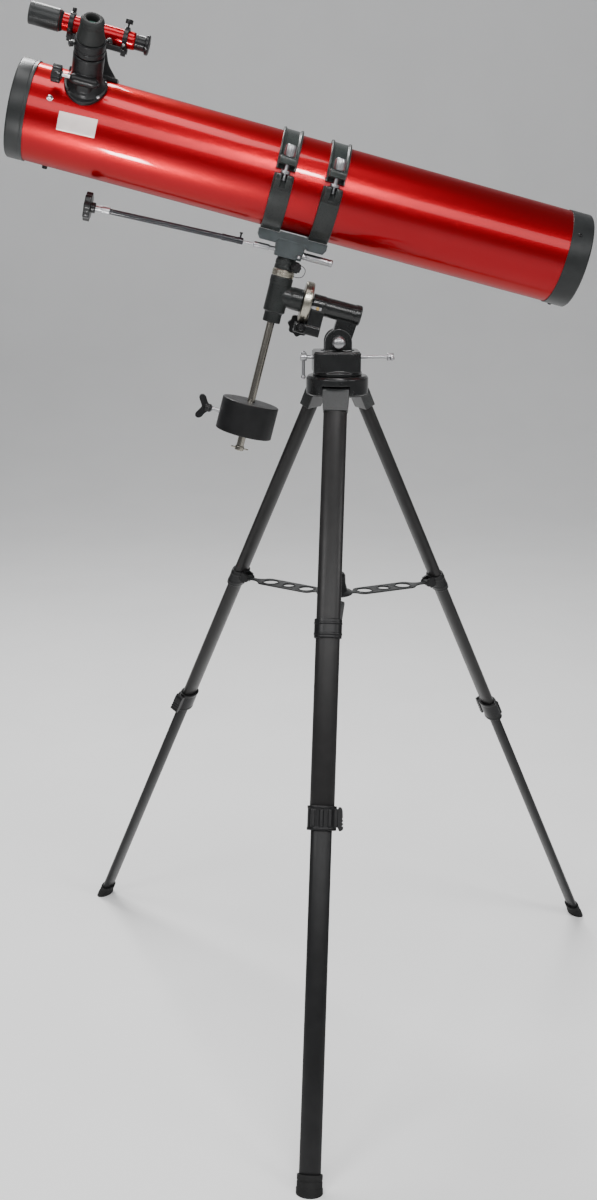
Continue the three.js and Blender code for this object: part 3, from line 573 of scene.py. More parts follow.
def screw_head(radius, height, drive="slot"):
    """A domed screw head on z = 0 with its slot or cross cut in."""
    profile = [(0, -1), (radius, -1), (radius, height * 0.45), (radius * 0.72, height * 0.86), (0, height)]
    head = turned("z", profile, soft=radius * 0.3)
    half = radius * 0.13
    slot = box((-radius * 1.2, radius * 1.2), (-half, half), (height * 0.5, height * 2))
    if drive == "cross":
        short = box((-radius * 0.62, radius * 0.62), (-half, half), (height * 0.4, height * 2))
        return cut(head, short, spun(short, "z", 90))
    return cut(head, slot)


def optical_tube():
    shell = pipe("x", TUBE_RADIUS, TUBE_INNER, TUBE_FRONT + 9, TUBE_REAR - 10, TUBE_AXIS)
    shell = cut(shell, along_focuser(cylinder("z", 19, 40, 90)))
    inner_wall = two_tone(matt_black, lambda at: math.hypot(at.y, at.z - TUBE_Z) < TUBE_INNER + 0.2)
    look("main_tube", shell, AXES, tube_paint, inner_wall)

    seat = TUBE_RADIUS + GAP
    front, back = TUBE_FRONT, TUBE_FRONT + 26
    ring = turned("x", [
        (66, front), (69.3, front), (71.5, front + 2.2), (71.5, front + 20), (71.1, front + 20.6),
        (71.1, front + 21.6), (71.5, front + 22.2), (71.5, back), (seat, back), (seat, front + 8.7),
        (66, front + 8.7), (66, front),
    ], TUBE_AXIS, soft=0.7)
    look("front_ring", ring, AXES, ring_plastic)

    back = TUBE_REAR
    front = back - 34
    cell = turned("x", [
        (0, back - 15), (46, back - 15), (46, back - 9.7), (seat, back - 9.7), (seat, front),
        (CELL_RADIUS, front), (CELL_RADIUS, back - 2.4), (69, back), (60, back), (58, back - 3),
        (0, back - 3),
    ], TUBE_AXIS, soft=0.8)
    look("rear_cell", cell, AXES, ring_plastic)

    for angle in (30, 150, 270):
        side = round_tube(angle) @ shift(back - 22, -CELL_RADIUS, 0) @ turn("X", 90)
        piece(f"cell_screw_{angle}", screw_head(3, 1.8, "cross"), side, OTA, black_plastic)
        rear = round_tube(angle) @ shift(back - 3, -38, 0) @ turn("Y", 90)
        knob = turned("z", [(0, -1), (5.5, -1), (5.5, 1.4), (4.2, 2.4), (0, 2.4)], soft=0.8)
        piece(f"collimation_knob_{angle}", knob, rear, OTA, chrome)
        lock = round_tube(angle + 14) @ shift(back - 3, -38, 0) @ turn("Y", 90)
        piece(f"collimation_lock_{angle}", screw_head(3, 1.8, "cross"), lock, OTA, black_plastic)


def optics():
    back = TUBE_REAR - 15.3
    radii = [POLISHED_RADIUS * (1 - i / 16) for i in range(17)]
    face = [(r, back - 12 + 1.5 * (1 - (r / MIRROR_RADIUS) ** 2)) for r in radii]
    block = [(0, back), (MIRROR_RADIUS, back), (MIRROR_RADIUS, back - 11.5)]
    mirror = turned("x", block + face, TUBE_AXIS)
    look("primary_mirror", mirror, AXES, mirror_coat)

    stock = cylinder("x", 13.5, FOCUSER_X - 40, FOCUSER_X + 40, TUBE_AXIS)
    slab = along_focuser(spun(box((-60, 60), (-60, 60), (-1.2, 2)), "y", 45))
    look("secondary_mirror", common(stock, slab), AXES, mirror_coat)

    hub = cylinder("x", 14, SPIDER_X - 9, FOCUSER_X + 30, TUBE_AXIS)
    away = along_focuser(spun(box((-60, 60), (-60, 60), (-1.5, 90)), "y", 45))
    vanes = []
    for angle in VANES:
        vane = box((SPIDER_X - 7, SPIDER_X + 7), (-TUBE_INNER + GAP, -10), (-0.8, 0.8))
        boss = cylinder("y", 4, -TUBE_INNER + GAP + 0.4, -TUBE_INNER + 9, (SPIDER_X, 0), soft=0.5)
        vanes.append(moved(spun(union(vane, boss), "x", -angle), 0, 0, TUBE_Z))
    centre_screw = cylinder("x", 4, SPIDER_X - 13, SPIDER_X - 8, TUBE_AXIS, soft=0.8)
    look("spider", union(cut(hub, away), *vanes, centre_screw), AXES, matt_black)
    for angle in VANES:
        outside = round_tube(angle) @ shift(SPIDER_X, -TUBE_RADIUS, 0) @ turn("X", 90)
        washer = turned("z", [(0, -0.4), (4.6, -0.4), (4.6, 0.5), (3.8, 0.9), (0, 0.9)], soft=0.3)
        piece(f"spider_washer_{angle}", washer, outside, OTA, chrome)
        head, paint = screw_head(3.2, 2.4), chrome
        if angle == VANES[-1]:
            head, paint = cylinder("z", 4, -1, 4.6, soft=0.8, sides=48), black_plastic
        piece(f"spider_screw_{angle}", head, outside @ shift(0, 0, 0.8), OTA, paint)


def label():
    """A blank silver plate whose edge sits down on the paint, wrapped round the tube's near side."""
    left, right, low, high, lift = -368, -313, -13.6, 7.8, 0.35
    across, around = 28, 20
    points, faces = [], []
    for j in range(around + 1):
        for i in range(across + 1):
            u, v = i / across * 2 - 1, j / around * 2 - 1
            x = (left + right) / 2 + u * (right - left) / 2
            height = (low + high) / 2 + v * (high - low) / 2 + u * 0.9
            angle = math.radians(height)
            rim = lift if max(abs(u), abs(v)) < 0.97 else 0.05
            reach = TUBE_RADIUS + rim
            points.append((x, -reach * math.cos(angle), TUBE_Z + reach * math.sin(angle)))
    for j in range(around):
        for i in range(across):
            a = j * (across + 1) + i
            faces.append((a, a + 1, a + across + 2, a + across + 1))
    mesh = bpy.data.meshes.new("label")
    mesh.from_pydata(points, [], faces)
    piece("blank_label", mesh, AXES, OTA, label_foil)


optical_tube()
optics()
label()

# ---- focuser and eyepiece ----------------------------------------------------------------

DRAW_RADIUS = 17.6
FOCUSER_TOP = 124
PINION = (-22.2, 93)


def focuser():
    skirt_radius = TUBE_RADIUS + 4.5
    tube_tool = cylinder("x", TUBE_RADIUS + GAP, -60, 60)
    skirt = common(prism("z", oval(35, 31, 128), 40, 90), cylinder("x", skirt_radius, -60, 60))
    flare = turned("z", [
        (0, 55), (29, 55), (29, 72), (25.5, 78), (23, 84), (22.3, 92), (22.3, FOCUSER_TOP),
        (0, FOCUSER_TOP),
    ], soft=3)
    barrel = turned("x", [(0, -21), (4, -20.5), (7.8, -15), (7.8, 15), (4, 20.5), (0, 21)], PINION, soft=3)
    block = prism("z", softened([(-13, -26.5), (13, -26.5), (13, -4), (-13, -4)], 10), 74, PINION[1])
    house = union(barrel, block)
    bore = cylinder("z", DRAW_RADIUS + GAP, 30, 200)
    shaft_bore = union(cylinder("x", 3.4, -40, 40, PINION), cylinder("x", 6, -15, 15, PINION))
    body = cast(cut(union(skirt, flare, house), tube_tool, bore, shaft_bore), 0.6, 5)
    look("focuser_base", body, FOCUSER, black_plastic)
    for i, (x, y) in enumerate(((-22, 21), (22, 21), (22, -21), (-22, -21))):
        lean = math.degrees(math.asin(y / skirt_radius))
        seat = FOCUSER @ turn("X", -lean) @ shift(x, 0, skirt_radius)
        paint = satin_chrome if i == 2 else black_plastic
        piece(f"focuser_screw_{i + 1}", screw_head(2.9, 2.0, "cross"), seat, OTA, paint)

    tube = turned("z", [
        (16.2, 64), (DRAW_RADIUS, 64), (DRAW_RADIUS, FOCUSER_TOP + 2), (21.5, FOCUSER_TOP + 2),
        (22, FOCUSER_TOP + 3), (22, 133), (21.2, 134), (21.2, 135), (22, 136), (22, 145), (21, 146.6),
        (16.2, 146.6), (16.2, 64),
    ], soft=0.4)
    flat = box((-30, 30), (-40, -DRAW_RADIUS + 0.9), (50, FOCUSER_TOP + 1))
    look("drawtube", cut(tube, flat), FOCUSER, black_plastic)
    for i, angle in enumerate((-60, 120)):
        profile = [(0, -1), (2.2, -1), (2.2, 3), (4.2, 3.4), (4.2, 8.4), (3.6, 9), (0, 9)]
        place = FOCUSER @ turn("Z", angle) @ shift(0, 22, 140.5) @ turn("X", -90)
        piece(f"eyepiece_screw_{i + 1}", turned("z", profile, soft=0.4), place, "drawtube", black_plastic)

    lens = turned("z", [
        (10.5, 120), (15.8, 120), (15.8, 146.9), (19.6, 146.9), (19.6, 150), (19, 153), (16.4, 167),
        (16.2, 168.5), (16.9, 170.6), (16.9, 174), (16.2, 176.4), (13.5, 178.5), (9.6, 178.5), (8, 176),
        (8, 172), (10.5, 160), (10.5, 120),
    ], soft=0.7)
    look("eyepiece", lens, FOCUSER, soft_rubber)
    eye_lens = turned("z", [(0, 166), (9.2, 166), (9.2, 168), (6, 169), (0, 169.5)])
    piece("eye_lens", eye_lens, FOCUSER, "drawtube", glass)

    wheel = moved(prism("x", scallops(12.5, 1.1, 14), -45, -33), 0, *PINION)
    dish = turned("x", [(0, -47), (8.5, -47), (8.5, -43.6), (0, -43.6)], PINION, soft=1.2)
    knob = union(
        bevelled(cut(wheel, dish), 1.0, 3), cylinder("x", 6, -34, -30.5, PINION, soft=0.8),
        cylinder("x", 2.5, -42, 22, PINION), cylinder("x", 5, -14, 14, PINION),
        cylinder("x", 3.2, -45.2, -43, PINION, soft=0.6),
    )
    bright_shaft = two_tone(chrome, lambda at: -30.6 < at.x < -20)
    look("focus_knob", knob, FOCUSER, black_plastic, bright_shaft)


focuser()

# ---- finder ------------------------------------------------------------------------------

FINDER_Z = 296
FINDER_AXIS = (0, FINDER_Z)
FINDER_RINGS = (-384.3, -304.6)
FINDER_SPAN = (-420, -260)  # past both ends of the bracket


def thumbscrew(shank, head_radius, head, length):
    """Shank of this length up from z = 0, then a round head."""
    top = length + head
    profile = [(0, 0), (shank, 0), (shank, length), (head_radius, length), (head_radius, top), (0, top)]
    return turned("z", profile, soft=0.6, sides=48)


def finder():
    ring_radius, ring_bore, half = 16.6, 13.6, 3.5
    tube_tool = cylinder("x", TUBE_RADIUS + GAP, *FINDER_SPAN, TUBE_AXIS)
    finder_tool = cylinder("x", ring_bore, *FINDER_SPAN, FINDER_AXIS)
    rings = []
    for x in FINDER_RINGS:
        ring = pipe("x", ring_radius, ring_bore, x - half, x + half, FINDER_AXIS)
        neck = cut(box((x - half, x + half), (-5, 5), (272, 284)), finder_tool)
        rings += [ring, neck]
    bar = box((-389, -299), (-4.5, 4.5), (276, 283.2))
    outline = [
        (-354, 278), (-330, 278), (-322, 256), (-308, 241), (-303, 236), (-303, 228), (-372, 228),
        (-372, 238), (-362, 246),
    ]
    stalk = prism("y", softened(outline, 6), -5, 5)
    foot = box((-374, -303), (-14, 14), (226, 239))
    clear_body = along_focuser(cylinder("z", 24.5, 60, 190))
    clear_skirt = along_focuser(prism("z", oval(36.5, 32.5), 40, 90))
    bracket = cut(union(*rings, bar, stalk, foot), tube_tool, clear_body, clear_skirt)
    look("finder_bracket", cast(bracket, 0.55, 4), AXES, black_plastic)

    tube = turned("x", [
        (14.6, -446), (15.6, -446), (16, -445), (16, -440), (15.7, -439.5), (16, -439), (16, -403),
        (15.4, -401.6), (13, -399.6), (12.4, -398), (12.4, -293), (11.6, -290.6), (9.4, -290.6),
        (9.4, -300), (11, -302), (11, -395), (14.6, -400), (14.6, -446),
    ], FINDER_AXIS, soft=0.5)

    def black_ends(mesh):
        for face in mesh.polygons:
            reach = math.hypot(face.center.y, face.center.z - FINDER_Z)
            inward = Vector((0, face.center.y, face.center.z - FINDER_Z)).dot(face.normal) < 0
            face.material_index = 1 if inward and reach < 14.8 else 2 if face.center.x < -401.5 else 0
        return [matt_black, ring_plastic]

    look("finder_tube", tube, AXES, tube_paint, black_ends)
    front_glass = [(0, -424), (6, -423.6), (10, -422.6), (14.4, -420.6), (14.4, -418), (0, -418)]
    piece("finder_lens", turned("x", front_glass, FINDER_AXIS), AXES, OTA, glass)

    eyepiece = turned("x", [
        (0, -299), (9.1, -299), (9.1, -290.3), (11, -290.3), (11, -287), (10.6, -286.6), (11, -286.2),
        (11, -276.4), (14.4, -275), (14.4, -271), (13, -269.8), (12, -269.6), (6, -269.6), (5, -272),
        (0, -272),
    ], FINDER_AXIS, soft=0.5)
    look("finder_eyepiece", eyepiece, AXES, black_plastic)
    eye_glass = turned("x", [(0, -272.2), (4.9, -272.2), (3, -271.4), (0, -271.1)], FINDER_AXIS)
    piece("finder_eye_lens", eye_glass, AXES, OTA, glass)
    for i, x in enumerate(FINDER_RINGS):
        for k, angle in enumerate((0, 120, 240)):
            tall = i == 1 and k == 0
            screw = thumbscrew(1.4, 5.5, 6, 8) if tall else thumbscrew(1.6, 3.2, 5, 4)
            place = AXES @ shift(x, 0, FINDER_Z) @ turn("X", angle) @ shift(0, 0, 13.2)
            piece(f"finder_screw_{i + 1}_{k + 1}", screw, place, OTA, black_plastic)


finder()

# ---- tube rings --------------------------------------------------------------------------

RING_XS = (-36, 38)
RING_HALF = 15
RING_RADIUS = 76
RING_BORE = 70.3
SADDLE_TOP = 90
SPLIT_LOW = 170.3
SPLIT_HIGH = 177
HINGE = (83, 173.6)
BOLT_Y = -84
FAR = 400


def ring_band(x):
    """A ring with a raised rim along each edge."""
    low, high, rim, floor_radius = x - RING_HALF, x + RING_HALF, 3.6, RING_RADIUS - 2.4
    profile = [
        (RING_BORE, low), (RING_RADIUS, low), (RING_RADIUS, low + rim), (floor_radius, low + rim + 1.2),
        (floor_radius, high - rim - 1.2), (RING_RADIUS, high - rim), (RING_RADIUS, high),
        (RING_BORE, high), (RING_BORE, low),
    ]
    return turned("x", profile, TUBE_AXIS, soft=0.8)


def ring_lower(x):
    width = (x - RING_HALF, x + RING_HALF)
    bore = cylinder("x", RING_BORE, x - 20, x + 20, TUBE_AXIS)
    foot = box(width, (-20, 20), (SADDLE_TOP + GAP, SADDLE_TOP + 14))
    plain = pipe("x", RING_RADIUS, RING_BORE, *width, TUBE_AXIS, soft=1.2)
    band = common(plain, box((-FAR, FAR), (-FAR, FAR), (SADDLE_TOP + GAP, SPLIT_LOW)))
    drops = [(-93, 0), (-93, 9), (-86, 15), (-74, 24), (-72, 0)]
    ear = prism("x", softened([(y, SPLIT_LOW - drop) for y, drop in drops], 3), x - 12, x + 12)
    bolt_slot = box((x - 4, x + 4), (-100, BOLT_Y + 4), (SPLIT_LOW - 30, SPLIT_LOW + 1))
    y = HINGE[0]
    spans = [(x - 14, x - 5.2), (x + 5.2, x + 14)]
    knuckles = [cylinder("x", 5, *span, HINGE, soft=0.4) for span in spans]
    blocks = [box(span, (72, y), (SPLIT_LOW - 8, SPLIT_LOW)) for span in spans]
    web = prism("x", [(72, SPLIT_LOW - 20), (72, SPLIT_LOW - 6), (y, SPLIT_LOW - 6)], x - 14, x + 14)
    return cast(cut(union(band, ear, foot, web, *blocks, *knuckles), bolt_slot, bore), 0.7, 3)


def ring_upper(x):
    above = box((-FAR, FAR), (-FAR, FAR), (SPLIT_HIGH, SPLIT_HIGH + FAR))
    band = common(ring_band(x), above)
    low = 183.6
    bore = cylinder("x", RING_BORE, x - 20, x + 20, TUBE_AXIS)
    outline = [(-93, low), (-93, low + 9), (-90, low + 11), (-60, low + 11), (-60, low)]
    ear = prism("x", softened(outline, 2.5), x - 12, x + 12)
    bolt_hole = cylinder("z", 3.4, low - 5, low + 20, (x, BOLT_Y))
    y = HINGE[0]
    tail = [(71, SPLIT_HIGH), (y + 3, SPLIT_HIGH), (74, SPLIT_HIGH + 14), (66, SPLIT_HIGH + 14)]
    knuckle = union(cylinder("x", 5, x - 4.8, x + 4.8, HINGE, soft=0.4), prism("x", tail, x - 4.8, x + 4.8))
    pin_hole = cylinder("x", 2.7, x - 6, x + 6, HINGE)
    return cast(cut(union(band, ear, knuckle), bolt_hole, bore, pin_hole), 0.7, 3)


def ring_knob(x):
    """Swing bolt with a washer, a collar and a tall knurled nut."""
    at = (x, BOLT_Y)
    bolt = cylinder("z", 3, SPLIT_LOW - 9, 200, at, soft=0.4)
    washer = cylinder("z", 7.5, SPLIT_LOW + GAP, SPLIT_LOW + 4.6, at, soft=0.6)
    nut = bevelled(moved(prism("z", scallops(8, 0.3, 16), 197, 210), x, BOLT_Y, 0), 0.4, 2)
    collar = cylinder("z", 6.6, 195, 198, at, soft=0.5)
    crown = turned("z", [(0, 209), (6.8, 209), (6.8, 211), (5.4, 212), (0, 212)], at, soft=0.6)
    return union(bolt, washer, collar, nut, crown)


def rings():
    for i, x in enumerate(RING_XS):
        number = i + 1
        look(f"ring_lower_{number}", ring_lower(x), AXES, casting_black)
        look(f"ring_upper_{number}", ring_upper(x), AXES, ring_paint)
        look(f"ring_knob_{number}", ring_knob(x), AXES, satin_chrome)
        pin = cylinder("x", 1.9, x - 15, x + 15, HINGE, soft=0.7)
        piece(f"ring_hinge_pin_{number}", pin, AXES, "dec_axis", polished_steel)


rings()

# ---- saddle, slow motion and dec knob ----------------------------------------------------

SPRING_Z = 65
DEC_LOCK_TURN = 45


def saddle():
    base = 56.2
    trunk = prism("y", [(-20.5, base), (20.5, base), (24, SADDLE_TOP), (-24, SADDLE_TOP)], -19, 19)
    lip = box((-20.5, 22.5), (-20, -16), (SADDLE_TOP - 8, SADDLE_TOP + 3))
    pads = []
    for x in RING_XS:
        outline = [
            (x - 16.5, SADDLE_TOP), (x - 16.5, SADDLE_TOP - 9), (x - 12, SADDLE_TOP - 16),
            (x + 12, SADDLE_TOP - 16), (x + 16.5, SADDLE_TOP - 9), (x + 16.5, SADDLE_TOP),
        ]
        pads.append(prism("y", outline, -20, 20))
    bar = box((-45, 45), (-15, 15), (SADDLE_TOP - 13, SADDLE_TOP))
    spring_bore = cylinder("x", 6.05, 8, 30, (0, SPRING_Z))
    rod_bore = cylinder("x", 4.3, -30, -6, (0, SLOW_Z))
    body = union(trunk, bar, lip, *pads)
    look("saddle", cast(cut(body, spring_bore, rod_bore), 0.6, 3), AXES, saddle_paint)
    piece("saddle_set_screw", ball(3.2, (16, -19.6, 62)), AXES, "dec_axis", satin_chrome)
    barrel = turned("x", [
        (0, 8.3), (5.75, 8.3), (5.75, 26), (5.2, 26.6), (5.2, 27.8), (5.75, 28.4), (5.75, 62),
        (5.2, 62.6), (5.2, 63.6), (5.75, 64.2), (5.75, 68.5), (4.75, 69.8), (0, 69.8),
    ], (0, SPRING_Z), soft=0.4)
    look("dec_spring_barrel", barrel, AXES, satin_chrome)


def slow_motion():
    """Chrome barrel, thin rod, fitting, sheathed flexible shaft and end collar."""
    rod = [(0, 11), (3.3, 11), (3.3, -10), (4.5, -11), (4.5, -34), (1.6, -35), (1.6, -52), (0, -52)]
    collar = [(0, -254), (5.8, -256), (5.8, -268), (5, -269), (5, -277.5), (0, -277.5)]
    metal = together(turned("x", rod, soft=0.4), turned("x", collar, soft=0.5))
    look("slow_motion_rod", metal, SLOW_MOTION, satin_chrome)
    fitting = turned("x", [
        (0, -50.5), (4.6, -51), (5.2, -52), (5.2, -60), (4.9, -60.6), (4.9, -78), (5.2, -78.6),
        (5.2, -84), (0, -85),
    ], soft=0.5)
    piece("slow_motion_fitting", fitting, SLOW_MOTION, "dec_slow_motion", sheath)
    wound = [(4.5 - 0.22 * (i % 2), -82 - i * 0.9) for i in range(193)]
    cover = turned("x", [(0, -81)] + wound + [(0, -256)], sides=32)
    piece("slow_motion_sheath", cover, SLOW_MOTION, "dec_slow_motion", sheath)
    stud = thumbscrew(1.4, 2.6, 2.4, 6)
    place = SLOW_MOTION @ shift(-56, 0, 4.4)
    piece("slow_motion_screw", stud, place, "dec_slow_motion", black_plastic)

    neck = turned("x", [(0, -277.8), (7.6, -277.8), (8, -279), (8, -287), (0, -287)], soft=0.7)
    grip = bevelled(prism("x", scallops(21.5, 2.2, 8, 0.8), -294, -284), 1.4, 4)
    dish = turned("x", [(0, -296), (13, -296), (11, -292.2), (0, -292.2)])
    boss = turned("x", [(0, -293.8), (5, -293.8), (6, -291), (0, -291)], soft=0.5)
    look("slow_motion_knob", union(neck, cut(grip, dish), boss), SLOW_MOTION, black_plastic)


def bent_wire(path, y, radius, sides=10):
    """A round wire along a path drawn in X and Z."""
    points = []
    for i, (x, z) in enumerate(path):
        before, after = path[max(i - 1, 0)], path[min(i + 1, len(path) - 1)]
        ahead = Vector((after[0] - before[0], 0, after[1] - before[1])).normalized()
        sideways = Vector((0, 1, 0))
        upright = ahead.cross(sideways)
        centre = Vector((x, y, z))
        for t in [2 * math.pi * k / sides for k in range(sides)]:
            points.append(tuple(centre + radius * (math.cos(t) * sideways + math.sin(t) * upright)))
    faces = [tuple(range(sides))[::-1], tuple(range(len(points) - sides, len(points)))]
    for i in range(len(path) - 1):
        for k in range(sides):
            a, b = i * sides + k, i * sides + (k + 1) % sides
            faces.append((a, b, b + sides, a + sides))
    return closed_mesh(points, faces)


def dec_knob():
    z = 46
    grip = bevelled(moved(prism("x", scallops(8.5, 1.4, 8), 19, 27), 0, 0, z), 0.7, 3)
    shank = cylinder("x", 2.5, 16.5, 20, (0, z))
    cap = turned("x", [(0, 26), (4, 26), (3.4, 27.3), (0, 27.6)], (0, z), soft=0.4)
    wire = bend((14, 51), (36, 52), (31, 38)) + bend((31, 38), (29, 31), (15, 32))
    piece("dec_wire", bent_wire(wire, -8, 0.55), AXES, "dec_axis", black_plastic)
    look("dec_lock_knob", spun(union(shank, grip, cap), "z", -DEC_LOCK_TURN), AXES, black_plastic)


saddle()
slow_motion()
dec_knob()

# ---- declination axis and counterweight --------------------------------------------------


def ticks(radius, length, count):
    """Raised graduations round a circle in the XY plane: every sixth is longer."""
    marks = []
    for i in range(count):
        reach = length if i % 6 == 0 else length * 0.55
        mark = box((-0.15, 0.15), (radius - 0.6, radius + 0.06), (0, reach))
        marks.append(spun(mark, "z", 360 * i / count))
    return together(*marks)


def dec_axis():
    column = turned("z", [
        (0, -43), (13.75, -43), (13.75, -29), (14.6, -27.4), (17, -26), (17, 16), (17.6, 17.5),
        (17.6, 26.5), (17, 27.5), (0, 27.5),
    ], soft=0.8)
    arm = turned("x", [(0, 0), (16.2, 0), (16.2, 18), (17.3, 22), (17.3, 38.6), (0, 38.6)], soft=1)
    ra_shaft = cylinder("x", 8, 30, 118)
    bore = cylinder("z", 8.3, -50, 40)
    look("dec_housing", cast(cut(union(column, arm, ra_shaft), bore), 0.55, 5), AXES, casting_black)

    shaft = turned("z", [
        (0, -20), (8, -20), (8, 38.2), (16, 38.2), (16, 44), (15.4, 44.6), (15.4, 45.6), (16, 46.2),
        (16, 52), (14.8, 53), (14.8, 55.9), (0, 55.9),
    ], soft=0.6)
    look("dec_shaft", shaft, AXES, casting_black)

    circle = turned("z", [
        (8.3, 27.8), (16.6, 27.8), (17.2, 29), (17.2, 31.5), (16.4, 32), (17.2, 32.5), (17.2, 36),
        (16.2, 37.9), (8.3, 37.9), (8.3, 27.8),
    ], soft=0.25)
    look("dec_setting_circle", circle, AXES, turned_aluminium)
    piece("dec_circle_marks", moved(ticks(17.2, 2.6, 36), z=32.9), AXES, "dec_axis", ink_grey)


def ra_circle():
    wide, bore = 31.5, 8.3
    circle = turned("x", [
        (bore, 38.9), (29.5, 38.9), (31, 39.6), (wide, 40.6), (wide, 49.6), (30.8, 51.2), (29.5, 52.4),
        (bore, 52.4), (bore, 38.9),
    ], soft=0.6)
    look("ra_setting_circle", circle, AXES, turned_aluminium)
    marks = moved(spun(ticks(wide, 3.0, 72), "y", 90), x=41.4)
    piece("ra_circle_marks", marks, AXES, "ra_axis", ink_grey)


WEIGHT_SCREW_HEIGHT = -196


def counterweight():
    rod = union(
        cylinder("z", 6, -244, -20.3, soft=0.6),
        turned("z", [(0, -250), (6, -250), (7.2, -249), (7.2, -243), (6.4, -242), (0, -242)], soft=0.5),
        cylinder("x", 1.3, -14, 14, (0, -246), soft=0.4),
    )
    look("counterweight_rod", rod, AXES, polished_steel)

    bore, low, high = 6.3, -221.5, -170.5
    body = turned("z", [
        (bore, low), (44, low), (45, low + 1), (45, high - 1), (44, high), (bore, high), (bore, low),
    ], soft=0.4)
    screw_hole = cylinder("x", 4, -50, 0, (0, WEIGHT_SCREW_HEIGHT))
    look("counterweight", cut(body, screw_hole), AXES, weight_paint)

    at = (0, WEIGHT_SCREW_HEIGHT)
    shank = cylinder("x", 3.6, -66, -8, at)
    neck = turned("x", [(0, -69), (6.5, -68), (6.5, -60), (4.8, -57), (0, -57)], at, soft=0.8)
    upper = [(-63, 6), (-67, 10), (-70, 16.5), (-75, 19.5), (-80, 18), (-81, 13), (-77, 6.5), (-73, 0)]
    lower = [(x, -z) for x, z in upper[-2::-1]]
    wings = moved(prism("y", softened(upper + lower, 2.5), -3.6, 3.6), 0, 0, at[1])
    grip = cast(union(neck, wings), 0.4, 5)
    steel_shank = two_tone(satin_chrome, lambda at: at.x > -59)
    look("counterweight_screw", together(grip, shank), AXES, black_plastic, steel_shank)


dec_axis()
ra_circle()
counterweight()

# ---- polar housing, worm and azimuth base ------------------------------------------------

WORM = (46, -39.5)
EAR = 9.3
HUB_BOTTOM = 1048
HUB_TOP = 1079
BOLT_HEIGHT = 1106.8


def ra_housing():
    width = (GAP - EAR, EAR - GAP)
    barrel = turned("x", [
        (0, 55), (16, 55), (16, 73), (15.2, 76), (15.2, 121), (16.2, 124), (16.2, 131), (14.5, 133),
        (12.5, 133), (11.5, 132), (0, 132),
    ], soft=0.9)
    outline = [(98, -8), (130, -8), (129, -24), (127.4, -46.5), (89.6, -46.5), (97, -30)]
    lug = union(prism("y", softened(outline, 3), *width), cylinder("y", 19, *width, PIVOT))
    shell = union(
        prism("x", softened([(-13, -47.5), (13, -47.5), (13, -6), (-13, -6)], 2.5), 54, 76),
        prism("x", softened([(-15, -47.5), (15, -47.5), (15, -33), (-15, -33)], 2.5), 36, 76),
    )
    bore = cylinder("x", 8.3, 50, 119)
    worm_bore = cylinder("y", 6.5, -16, 16, WORM)
    pivot_hole = cylinder("y", 5.3, -20, 20, PIVOT)
    body = cut(union(barrel, lug, shell), bore, worm_bore, pivot_hole)
    look("ra_housing", cast(body, 0.6, 4), AXES, gloss_casting)

    outline = softened([(53, -1.6), (58, -2.6), (70, -2.6), (70, 2.6), (58, 2.6), (53, 1.6)], 0.8)
    pointer = prism("y", outline, -16.9, -15.9)
    piece("ra_pointer", bevelled(spun(pointer, "x", 16), 0.2, 2), AXES, "polar_head", satin_chrome)
    place = AXES @ turn("X", 16) @ shift(64, -16.9, 0) @ turn("X", 90)
    piece("ra_pointer_screw", screw_head(2.8, 1.8), place, "polar_head", brass)
    lock = thumbscrew(2.2, 5.4, 7, 6)
    place = AXES @ shift(112, 0, 0) @ turn("X", -118) @ shift(0, 0, 15)
    piece("ra_lock_screw", bevelled(lock, 0.3, 2), place, "polar_head", black_plastic)
    end_nut = cylinder("x", 9.5, 131, 133.4, soft=0.6, sides=6)
    piece("ra_shaft_nut", end_nut, AXES, "polar_head", plate_silver)


def ra_worm():
    worm = cylinder("y", 6.2, -14, 14, WORM)
    profile = [(0, -26), (3, -26), (3.6, -24), (3.6, -18), (5.5, -18), (5.5, -14), (0, -14)]
    stub = turned("y", profile, WORM, soft=0.4)
    shaft = cylinder("y", 4, 13, 37, WORM)
    knob = bevelled(moved(prism("y", scallops(18, 2.6, 8), 35, 50), WORM[0], 0, WORM[1]), 1.2, 4)
    look("ra_worm", union(worm, stub, shaft, knob), AXES, black_plastic)


